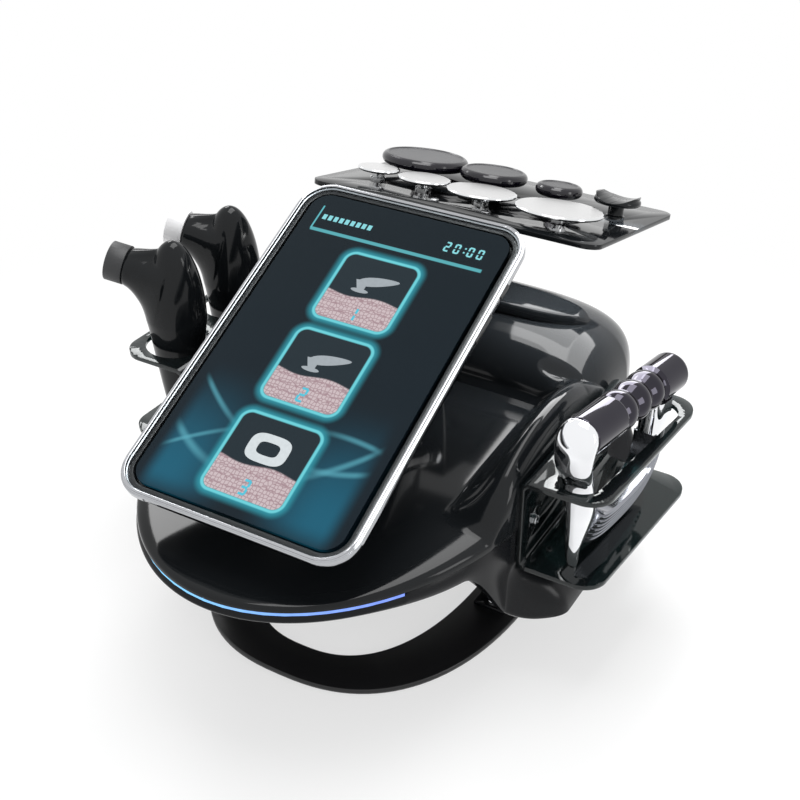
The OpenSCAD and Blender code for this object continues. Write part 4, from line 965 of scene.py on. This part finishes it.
class Massager(Part):
    """Closed loop massager that stands in the right holder's slot."""

    # Length of the grip, height of its axis at the front, and length of its rounded end
    grip_l, grip_z, grip_round_l = S.loop_l + 6, S.loop_h + 4, 9
    # Place of the loop's front: distance from the holder's wall, and depth
    wall_gap, front_y = 36, 168
    # Depth of the comb, height of its edge's middle and lowest point, power of the edge's super
    # ellipse, and the angle at which the edge starts at the front leg
    blade_t, blade_mid, blade_base, blade_power, blade_start = 28.0, 62.0, 3, 2.6, 142.0
    looks = (("massager_screws", DARK_STEEL, 0.0),)

    def to_work(self, across: Array, along: Array, up: Array) -> Array:
        """Turns the loop's own directions into the working frame: a turn about Z, then a shift."""
        c, s = cos_sin(S.loop_yaw)
        x = S.holder_x + self.wall_gap + across * c + along * s
        y = self.front_y - across * s + along * c
        return np.stack([x, y, S.seat_z + up], axis=-1)

    def grip_radius(self, s: Array) -> Array:
        """Radius of the grip: round, less three grooves for the fingers."""
        a, b = self.grip_l * 0.3, self.grip_l * 0.73
        wave = 1 - np.abs(np.sin(np.radians(540 * (s - a) / (b - a))))
        wave = np.where((s > a) & (s < b), wave, 0)
        return S.loop_grip_r - S.finger_depth * wave

    def grip(self) -> Array:
        """Grid of the grip: its profile turned about an axis that drops towards the back."""
        full = self.grip_l - self.grip_round_l
        s = np.concatenate([[0, 0.2, 0.6, 1.2], np.linspace(1.8, full, 190)])
        r = np.concatenate([S.loop_grip_r - np.array([1.2, 0.7, 0.3, 0.05]), self.grip_radius(s[4:])])
        end = np.radians(np.linspace(6, 89, 14))
        s = np.concatenate([s, full + self.grip_round_l * np.sin(end)])
        r = np.concatenate([r, S.loop_grip_r * np.cos(end)])
        a = np.radians(np.arange(0, 360, 5))
        cd, sd = cos_sin(S.grip_drop)
        across, away = r[:, None] * np.sin(a), r[:, None] * np.cos(a)
        along = S.grip_start + s[:, None] * cd + away * sd
        up = self.grip_z - s[:, None] * sd + away * cd
        return self.to_work(across, along, up)

    def blade_point(self, a: Array) -> tuple[Array, Array]:
        """Point of the blade's edge at a turn, on the lower part of a super ellipse."""
        half = S.loop_l / 2
        along = half + half * signed_power(np.cos(a), 2 / self.blade_power)
        drop = (self.blade_mid - self.blade_base) * np.abs(np.sin(a)) ** (2 / self.blade_power)
        return along, self.blade_mid - drop

    def blade_normal(self, a: Array) -> tuple[Array, Array]:
        """Direction square to the blade's edge, pointing out of the loop."""
        q = 2 * (self.blade_power - 1) / self.blade_power
        nx = signed_power(np.cos(a), q) / S.loop_l * 2
        nz = -(np.abs(np.sin(a)) ** q) / (self.blade_mid - self.blade_base)
        size = np.hypot(nx, nz)
        return nx / size, nz / size

    def blade(self) -> Array:
        """Grid of the ribbed blade: a comb section swept along the blade's edge."""
        half = [(0.0, 2.5), (1.0, 3.6)]
        for k in range(6):
            half += [(d + 4 * k, w + k * 1.1) for d, w in ((2, 4.4), (3.6, 4.9), (4.6, 3.4))]
        half += [(self.blade_t - 1.4, 10.9), (self.blade_t, 9.5)]
        section = np.array(half + [(d, -w) for d, w in reversed(half)])
        a = np.radians(np.linspace(self.blade_start, 0, 90))[:, None]
        px, pz = self.blade_point(a)
        nx, nz = self.blade_normal(a)
        across = np.broadcast_to(section[:, 1], (90, len(section)))
        return self.to_work(across, px - nx * section[:, 0], pz - nz * section[:, 0])

    def leg(self) -> Array:
        """Grid of the bright front leg, which turns down from the grip's end and narrows to a tip."""
        lead, gz, t, r = S.grip_start, self.grip_z, self.blade_t, S.loop_grip_r
        ex, ez = (float(v) for v in self.blade_point(np.radians(self.blade_start)))
        nx, nz = (float(v) for v in self.blade_normal(np.radians(self.blade_start)))
        ox, oz = -0.35 * abs(nz), 0.35 * abs(nx)
        # Along and up of the line inside the loop, then of the line outside it, and half the width
        rings = np.array([
            (lead - 1.9, gz - r + 0.7, lead + 0.9, gz + r - 0.7, r - 0.6),
            (lead - 2.8, gz - r - 0.2, lead - 4, gz + r - 2.5, r - 0.2),
            (lead - 2.6, gz - r - 1.4, lead - 9.5, gz + r - 10, r - 0.1),
            (lead - 0.5, gz - r - 4.2, lead - 13, gz - 7, r - 0.7),
            (7.5, gz - 25, -7, gz - 22, 14.4),
            (11.5, gz - 32, -3, gz - 32, 13.2),
            (15, 76, 1, 75, 11.8),
            (24, 58, 1.5, 57, 10.4),
            (ex - nx * t + ox, ez - nz * t + oz, 2.5, 44, 9),
            (ex - nx * 14 + ox, ez - nz * 14 + oz, 4, 27, 7.6),
            (ex + ox, ez + oz, 5, 12, 6),
            (12.5, 8, 6, 4, 5),
            (11.5, 0, 7, 0, 4),
        ])
        a = np.radians(np.arange(0, 360, 7.5))
        c = signed_power(np.cos(a), 0.8) / 2
        across = rings[:, 4:5] * signed_power(np.sin(a), 0.8)
        inside, outside = rings[:, :2, None], rings[:, 2:4, None]
        line = (inside + outside) / 2 + (inside - outside) * c
        along, up = line[:, 0], line[:, 1]
        fine = sweep_rows(np.stack([across, along, up], axis=-1), 6)
        return self.to_work(fine[..., 0], fine[..., 1], np.maximum(fine[..., 2], 0))

    def rear_block(self) -> Array:
        """Grid of the block that carries the grip's rear end on the blade, with rounded sides."""
        slope = math.tan(math.radians(S.grip_drop))
        side = np.radians(np.arange(0, 360, 15))
        base = self.blade_mid + 0.3
        rows = []
        for f in np.linspace(0, 1, 12):
            front = S.loop_l - self.blade_t + 2 * f
            back = S.loop_l - 0.2 - 2.8 * f
            top = self.grip_z - (front - S.grip_start) * slope - S.loop_grip_r - 0.4
            along = (front + back) / 2 + (back - front) / 2 * signed_power(np.cos(side), 0.5)
            across = 10 * signed_power(np.sin(side), 0.5)
            rows.append(self.to_work(across, along, base + (top - base) * f - (along - front) * slope * f))
        return np.stack(rows)

    def build(self) -> None:
        """Makes the grip, the blade and the front leg in place of the CAD's coarser ones."""
        for name, rings, look, slot, stands_for, sharp in (
            ("massager_leg", self.leg(), CHROME, "chrome", ["massager_frame"], None),
            ("massager_block", self.rear_block(), CHROME, "chrome", [], 50),
            ("massager_handle", self.grip(), DARK_CHROME, "dark_chrome", ["massager_grip"], None),
            ("massager_ribs", self.blade(), BLADE, "blade", ["massager_blade"], 40),
        ):
            place_solid(name, rings, "massager", look, stands_for, sharp)


class Tablet(Part):
    """Tilting touch tablet with its screen."""

    # Middle height and half size of each lit tile, and the radius of the tiles' corners
    tiles = ((216.5, 33.0), (139.5, 33.5), (58.5, 35.0))
    tile_round = 9.0
    # Height at the middle, bend, slope and width of each pale streak
    streaks = ((42, 0.006, 0.18, 2.2), (66, 0.004, -0.22, 1.6), (88, -0.003, 0.3, 1.4))
    # Levels of the lit shapes' lower and upper faces, just under the cover glass
    art_levels = (-2.5, -2.42)
    looks = (
        ("tablet_frame", RIM, 0.5), ("tablet_back", POWDER, 0.8), ("tablet_board", BOARD, 0.0),
        ("tablet_bracket support_arms hinge_foot", GLOSS, 0.8), ("hinge_pin", STEEL, 0.0),
        ("power_key volume_key", GRAINED, 0.3),
    )

    def screen(self) -> bpy.types.Material:
        """Material of the lit display, drawn by distances in the tablet's own directions."""
        material, n = new_material("display_lit")
        local = n.local(np.array([0.0, 0.0, S.tablet_z]))
        u, v = (
            n.times(n.vmath("DOT_PRODUCT", local, way), 1000.0)
            for way in ((1, 0, 0), (0, *cos_sin(S.tablet_lean)))
        )
        wide = n.math("ABSOLUTE", u)
        side = n.ramp(wide, 82, 70)
        # Dark ground with a teal glow low on both sides
        look = n.mix(n.ramp(v, 20, 300), (0.002, 0.004, 0.006), (0.001, 0.0018, 0.0022))
        low_glow = n.times(n.ramp(v, 128, 30), n.ramp(v, 2, 26), n.ramp(wide, 4, 62), n.ramp(wide, 84, 70))
        look = n.mix(low_glow, look, (0.006, 0.105, 0.17))
        for rise, bend, slope, width in self.streaks:
            curve = n.math("MULTIPLY_ADD", n.times(u, u), bend, n.math("MULTIPLY_ADD", u, slope, rise))
            streak = n.times(n.ramp(n.gap(v, curve), width * 2.5, 0.0), n.ramp(wide, 20, 60), side, 0.55)
            look = n.mix(streak, look, (0.12, 0.45, 0.55))
        # Title bar: a line, and a tick above its left end
        line = n.times(n.ramp(n.gap(v, 261.0), 1.9, 1.2), n.ramp(wide, 76.5, 75.5))
        look = n.mix(line, look, (0.10, 0.42, 0.46))
        tick = n.times(n.ramp(n.gap(u, -76.0), 0.9, 0.5), n.ramp(n.gap(v, 273.0), 12.5, 11.5))
        look = n.mix(tick, look, (0.12, 0.5, 0.55))
        cells = n.add(
            "TexVoronoi", {"Vector": local, "Scale": 330.0, "Randomness": 0.45}, feature="DISTANCE_TO_EDGE"
        )
        tissue = n.mix(n.ramp(cells.outputs["Distance"], 0.02, 0.16), (0.42, 0.27, 0.29), (0.66, 0.52, 0.53))
        ripple = n.math("SINE", n.times(u, 0.12))
        for middle, half in self.tiles:
            # Distance from the tile's rounded outline, less than 0 inside it
            dx, dy = (
                n.math("MAXIMUM", n.math("SUBTRACT", off, half - self.tile_round), 0.0)
                for off in (wide, n.gap(v, middle))
            )
            corner = n.math("SQRT", n.math("ADD", n.times(dx, dx), n.times(dy, dy)))
            away = n.math("SUBTRACT", corner, self.tile_round)
            look = n.mix(n.times(n.ramp(away, 7.0, 0.0), 0.8), look, (0.03, 0.34, 0.42))
            look = n.mix(n.ramp(away, 0.4, -0.4), look, (0.012, 0.017, 0.02))
            wave = n.math("MULTIPLY_ADD", ripple, 1.6, middle - 6.0)
            lower = n.times(n.ramp(away, -1.6, -2.2), n.ramp(n.math("SUBTRACT", v, wave), 0.8, -0.8))
            look = n.mix(lower, look, tissue)
            look = n.mix(n.ramp(n.gap(away, -0.6), 1.9, 0.5), look, (0.16, 0.66, 0.72))
        n.surface(
            "BsdfPrincipled",
            {
                "Base Color": (0.0, 0.0, 0.0),
                "Roughness": n.math("MULTIPLY_ADD", n.noise(n.objects(), 30.0), 0.02, 0.03),
                "Specular IOR Level": 0.35,
                "Specular Tint": (0.6, 0.8, 1.0),
                "Emission Color": look,
                "Emission Strength": 1.0,
            },
        )
        return material

    def flat(self, name: str, shapes: Sequence[Array], colour: Colour) -> None:
        """Puts thin lit shapes just under the cover glass.

        Args:
            name: Name of the piece.
            shapes: Outlines in the tablet's own millimetres, each run round once.
            colour: Linear colour of the light.
        """
        c, s = cos_sin(S.tablet_lean)
        points, faces, start = [], [], 0
        for shape in shapes:
            count = len(shape)
            u, v = shape[:, 0], shape[:, 1]
            for level in self.art_levels:
                points.append(np.stack([u, v * c - level * s, S.tablet_z + v * s + level * c], axis=-1))
            under = list(range(start, start + count))
            top = [i + count for i in under]
            faces += [under[::-1], top]
            faces += [[under[i - 1], under[i], top[i], top[i - 1]] for i in range(count)]
            start += 2 * count
        mesh = bpy.data.meshes.new(name)
        mesh.from_pydata(to_row(np.concatenate(points)).tolist(), [], faces)
        mesh.validate()
        material, n = new_material(f"{name}_light")
        shimmer = n.math("MULTIPLY_ADD", n.noise(n.objects(), 400.0, 2.0), 0.2, 0.9)
        n.surface("Emission", {"Color": colour, "Strength": shimmer})
        place(mesh, "tablet", material)

    @staticmethod
    def bar(u: float, v: float, width: float, height: float) -> Array:
        """Outline of an upright bar given by its middle and its size."""
        w, h = width / 2, height / 2
        return np.array([[u - w, v - h], [u + w, v - h], [u + w, v + h], [u - w, v + h]])

    def digit(self, u: float, v: float, height: float, figure: int) -> list[Array]:
        """Seven segment figure.

        Args:
            u: Left edge.
            v: Lower edge.
            height: Height of the figure.
            figure: The number from 0 to 9.

        Returns:
            Outlines of the lit segments.
        """
        lit = "abcdef bc abged abgcd fgbc afgcd afgedc abc abcdefg abcdfg".split()[figure]
        w, t, h = height * 0.52, height * 0.15, height
        spots = {k: (w / 2, at, w - t, t) for k, at in (("a", h - t / 2), ("g", h / 2), ("d", t / 2))}
        for pair, share in (("fb", 0.75), ("ec", 0.25)):
            spots[pair[0]], spots[pair[1]] = ((at, h * share, t, h / 2 - t) for at in (t / 2, w - t / 2))
        return [self.bar(u + spots[k][0], v + spots[k][1], *spots[k][2:]) for k in lit]

    def probe(self, u: float, v: float) -> list[Array]:
        """Outlines of a plain handheld probe: a slanting body, a neck and a disc.

        The body's outline is an ellipse that is narrower towards its far end.

        Args:
            u: Place across the screen.
            v: Height of the disc's lower edge.

        Returns:
            The three outlines.
        """
        t = np.radians(np.arange(0, 360, 12))
        long, thin = 17 * np.cos(t), 4.2 * np.sin(t) * (1 - 0.35 * np.cos(t))
        c, s = cos_sin(14)
        body = np.stack([long * c - thin * s + 7, long * s + thin * c + 14], -1)
        neck = np.array([[-11.5, 12.0], [-7.0, 4.0], [-1.0, 4.0], [-0.5, 13.0]])
        disc = np.stack([7.5 * np.cos(t) - 4, 1.9 * np.sin(t) + 2.6], -1)
        return [np.array([u, v]) + shape for shape in (body, neck, disc)]

    def build(self) -> None:
        """Draws the figures and the plain pictures of the three tiles."""
        clock = []
        for i, figure in enumerate((2, 0, 0, 0)):
            clock += self.digit(38 + i * 8.2 + (3.4 if i > 1 else 0), 270.5, 9.5, figure)
        clock += [self.bar(55.2, v, 1.4, 1.4) for v in (273.5, 277.5)]
        level = [self.bar(-70 + 5.2 * i, 274.5, 3.4, 5.0) for i in range(9)]
        self.flat("screen_figures", clock + level, (0.30, 0.75, 0.80))
        marks = []
        for figure, (middle, half) in enumerate(self.tiles, 1):
            marks += self.digit(-3.6, middle - half + 4.5, 13.0, figure)
        self.flat("tile_numbers", marks, (0.12, 0.6, 0.75))
        first, second, third = (middle for middle, _ in self.tiles)
        probes = self.probe(-2, first - 3) + self.probe(-2, second - 3)
        self.flat("probe_pictures", probes, (0.42, 0.45, 0.48))
        t = np.radians(np.arange(0, 361, 10))
        edge = signed_power(np.cos(t), 0.6), signed_power(np.sin(t), 0.6)
        rim, hole = (np.stack([w * edge[0], third + 9 + h * edge[1]], -1) for w, h in ((17, 12), (9, 5.5)))
        ring = [np.array([rim[i], rim[i + 1], hole[i + 1], hole[i]]) for i in range(len(t) - 1)]
        self.flat("loop_picture", ring, (0.75, 0.78, 0.8))

    def glass(self) -> bpy.types.Material:
        """Material of the cover glass: clear and faintly smeared.

        The display right under it carries the mirrored light of both, so that the picture stays
        free of grain.
        """
        material, n = new_material("cover_glass")
        tint = n.mix(n.noise(n.objects(), 30.0, 3.0), (0.95, 0.97, 0.975), (0.97, 0.985, 0.99))
        n.surface("BsdfTransparent", {"Color": tint})
        return material

    def dress(self) -> None:
        """Gives the tablet's CAD pieces their looks."""
        dress("tablet_display", self.screen(), flat=True)
        dress("tablet_glass", self.glass(), flat=True)
        super().dress()


@dataclass(frozen=True)
class DiscKind:
    """Look of one row of round electrodes.

    Attributes:
        nodes: What the CAD nodes' names begin with.
        row: Place of the row along the tray in millimetres.
        face: Colour of the face.
        rim: Colour of everything else.
        inset: How far inside the rim the face's colour ends.
        height: Height of the face above the tray.
        metallic: 1 for steel.
        rough: Roughness of the face and of the rim.
        discs: Place across the tray and radius of each disc.
    """

    nodes: str
    row: float
    face: Colour
    rim: Colour
    inset: float
    height: float
    metallic: float
    rough: tuple[float, float]
    discs: tuple[tuple[float, float], ...]


class ElectrodeTray(Part):
    """Rear tray on its bracket, with the eight electrodes."""

    kinds = (
        DiscKind("bare_disc", 46, (0.72, 0.72, 0.72), (0.8, 0.81, 0.82), 2, 13, 1.0, (0.36, 0.1),
                 ((-91, 18.5), (-46, 23), (9, 30), (80, 37))),
        DiscKind("coated_disc", 106, (0.03, 0.03, 0.034), (0.006, 0.005, 0.009), 4.5, 20, 0.0, (0.33, 0.12),
                 ((-78, 39), (-9, 30), (53.5, 20.5))),
    )
    looks = (
        ("tray_plate", GLOSS, 0.4), ("tray_bracket", POWDER, 0.4), ("tray_screws", STEEL, 0.0),
        ("coated_saddle", GLOSS, 0.5),
    )

    def disc_material(self, kind: DiscKind, name: str, x: float, radius: float) -> bpy.types.Material:
        """Material of one round electrode, with lathe lines on its face and a smoother rim.

        Args:
            kind: The row that it belongs to.
            name: Name of the material.
            x: Place across the tray in millimetres.
            radius: Radius of the disc.

        Returns:
            The material.
        """
        material, n = new_material(name)
        c, s = cos_sin(S.tray_tilt)
        local = n.local(np.array([x, S.tray_y + kind.row * c, S.tray_z - kind.row * s]))
        up = n.vmath("DOT_PRODUCT", local, (0.0, s, c))
        away = n.math("SQRT", n.math("SUBTRACT", n.vmath("DOT_PRODUCT", local, local), n.times(up, up)))
        reach = radius - kind.inset
        on_face = n.times(
            n.ramp(away, reach * 0.001, (reach - 0.5) * 0.001),
            n.ramp(up, (kind.height - 2.2) * 0.001, (kind.height - 1.4) * 0.001),
        )
        ring = n.noise(n.add("CombineXYZ", {0: away}), 5200.0, 2.0)
        cloud = n.noise(n.objects(), 30.0, 3.0)
        face, rim = kind.rough
        rough_face = n.math("MULTIPLY_ADD", n.math("ADD", ring, cloud), 0.08, face - 0.08)
        n.surface(
            "BsdfPrincipled",
            {
                "Base Color": n.mix(on_face, kind.rim, kind.face),
                "Metallic": kind.metallic,
                "Roughness": n.math("MULTIPLY_ADD", on_face, n.math("SUBTRACT", rough_face, rim), rim),
                "Normal": n.bump(n.times(ring, on_face), 0.25, 0.00001),
            },
        )
        return material

    def dress(self) -> None:
        """Gives the tray, its bracket and the electrodes their looks."""
        super().dress()
        for kind in self.kinds:
            for i, (x, radius) in enumerate(kind.discs, 1):
                name = f"{kind.nodes}_{i}"
                dress(name, self.disc_material(kind, f"{name}_look", x, radius))


class RearPanel(Part):
    """Rear panel with its inlet, switch and sockets, and what is inside the casings."""

    looks = (
        ("rear_panel power_inlet switch_frame power_rocker", GRAINED, 0.3),
        ("output_socket_1 output_socket_2 output_socket_3", GRAINED, 0.3),
        ("panel_screws", STEEL, 0.0), ("power_supply heatsink", ALLOY, 0.0), ("rf_board", BOARD, 0.0),
        ("rf_coils", COPPER, 0.0), ("cooling_fan fan_rotor", GRAINED, 0.0),
    )


class Studio:
    """White floor, surroundings, lamps and the camera."""

    camera_at = (475.0, -569.0, 754.0)
    azimuth, elevation = 30.2, 32.4
    focal_px, picture_px, sensor_mm = 1346.0, 800.0, 36.0
    floor_half = 12000.0
    ambient = 0.7
    # Place and aim in working millimetres, size in metres, watts, and whether the camera sees it
    soft_boxes = {
        "top_box": ((0, 575, 1700), (0, 575, 0), (0.8, 1.55), 20.0, True),
        "left_box": ((-1165, 975, 1230), (-50, 40, 150), (0.5, 0.5), 6.5, True),
        "dome_fill": ((120, 352, 276), (120, 352, 0), (0.14, 0.155), 0.72, False),
        "right_box": ((1700, 300, 700), (150, 200, 120), (0.4, 0.8), 4.0, True),
    }

    @staticmethod
    def add(name: str, data: bpy.types.ID, at: Point = (0.0, 0.0, 0.0)) -> bpy.types.Object:
        """Adds an object to the scene, with its place in metres of the shared frame."""
        obj = bpy.data.objects.new(name, data)
        bpy.context.scene.collection.objects.link(obj)
        obj.location = at
        return obj

    def floor(self) -> None:
        """Lays a large white floor that keeps a soft shadow."""
        ends = (-self.floor_half, self.floor_half)
        mesh = grid_mesh("floor", np.array([[[x, y, 0.0] for x in ends] for y in ends]))
        material, n = new_material("floor_white")
        where = n.objects()
        far = n.ramp(n.vmath("LENGTH", where), 0.3, 0.75, 0.62, 1.0)
        grain = n.noise(where, 900.0, 2.0)
        near = n.add("BsdfDiffuse", {"Color": n.mix(grain, (0.94, 0.94, 0.94), (0.96, 0.96, 0.96))})
        white = n.add("Emission", {"Color": (1.0, 1.0, 1.0), "Strength": 1.0})
        n.surface("MixShader", {0: n.times(far, n.seen()), 1: near, 2: white})
        mesh.materials.append(material)
        self.add("floor", mesh)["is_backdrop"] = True

    def surroundings(self) -> None:
        """Sets a world that is white to the eye, to mirrors and through glass, and dimmer as a light."""
        world = bpy.data.worlds.new("studio")
        bpy.context.scene.world = world
        world.use_nodes = True
        n = Nodes(world.node_tree)
        strength = n.math("MULTIPLY_ADD", n.seen(), 1.0 - self.ambient, self.ambient)
        back = n.add("Background", {"Color": (1.0, 1.0, 1.0), "Strength": strength})
        n.add("OutputWorld", {"Surface": back})

    def lamps(self) -> None:
        """Hangs the studio's soft boxes. A lamp right above its aim keeps facing down."""
        for name, (at, aim, size, watts, visible) in self.soft_boxes.items():
            data = bpy.data.lights.new(name, "AREA")
            data.shape = "RECTANGLE"
            data.size, data.size_y = size
            data.energy = watts
            start, end = to_row(at), to_row(aim)
            obj = self.add(name, data, start)
            obj.visible_camera = visible
            if at[:2] != aim[:2]:
                obj.rotation_euler = Vector(end - start).to_track_quat("-Z", "Y").to_euler()

    def camera(self) -> None:
        """Sets the camera where the photograph was taken from."""
        data = bpy.data.cameras.new("camera")
        data.sensor_width = self.sensor_mm
        data.lens = self.focal_px / self.picture_px * self.sensor_mm
        data.clip_start, data.clip_end = 0.05, 60.0
        obj = self.add("camera", data, to_row(self.camera_at))
        obj.rotation_euler = (math.radians(90 - self.elevation), 0, math.radians(self.azimuth))
        bpy.context.scene.camera = obj

    def build(self) -> None:
        """Makes the whole studio."""
        self.floor()
        self.surroundings()
        self.lamps()
        self.camera()
        bpy.context.scene.view_settings.view_transform = "Standard"


def note_size(moment: str) -> tuple[list[float], list[float]]:
    """Logs the object's box and returns it.

    Args:
        moment: What the log calls this moment.

    Returns:
        The box's lowest and highest corner as plain lists.
    """
    low, high = (list(corner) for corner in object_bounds())
    LOG.info("box %s: %s to %s", moment, low, high)
    return low, high


def main() -> None:
    """Builds every sub assembly, the studio and the size note."""
    logging.basicConfig(level=logging.INFO)
    before = note_size("before")
    casing = Casing()
    near = Handpiece("near_handpiece", S.near_cup_y, MATT_DARK)
    far = Handpiece("far_handpiece", S.near_cup_y + S.cup_pitch, WHITE)
    for part in (
        casing, Stand(), CarryHandle(casing), Holders(), near, far, Massager(), Tablet(), ElectrodeTray(),
        RearPanel(),
    ):
        part.build()
        part.dress()
    Studio().build()
    after = note_size("after")


if __name__ == "__main__":
    main()
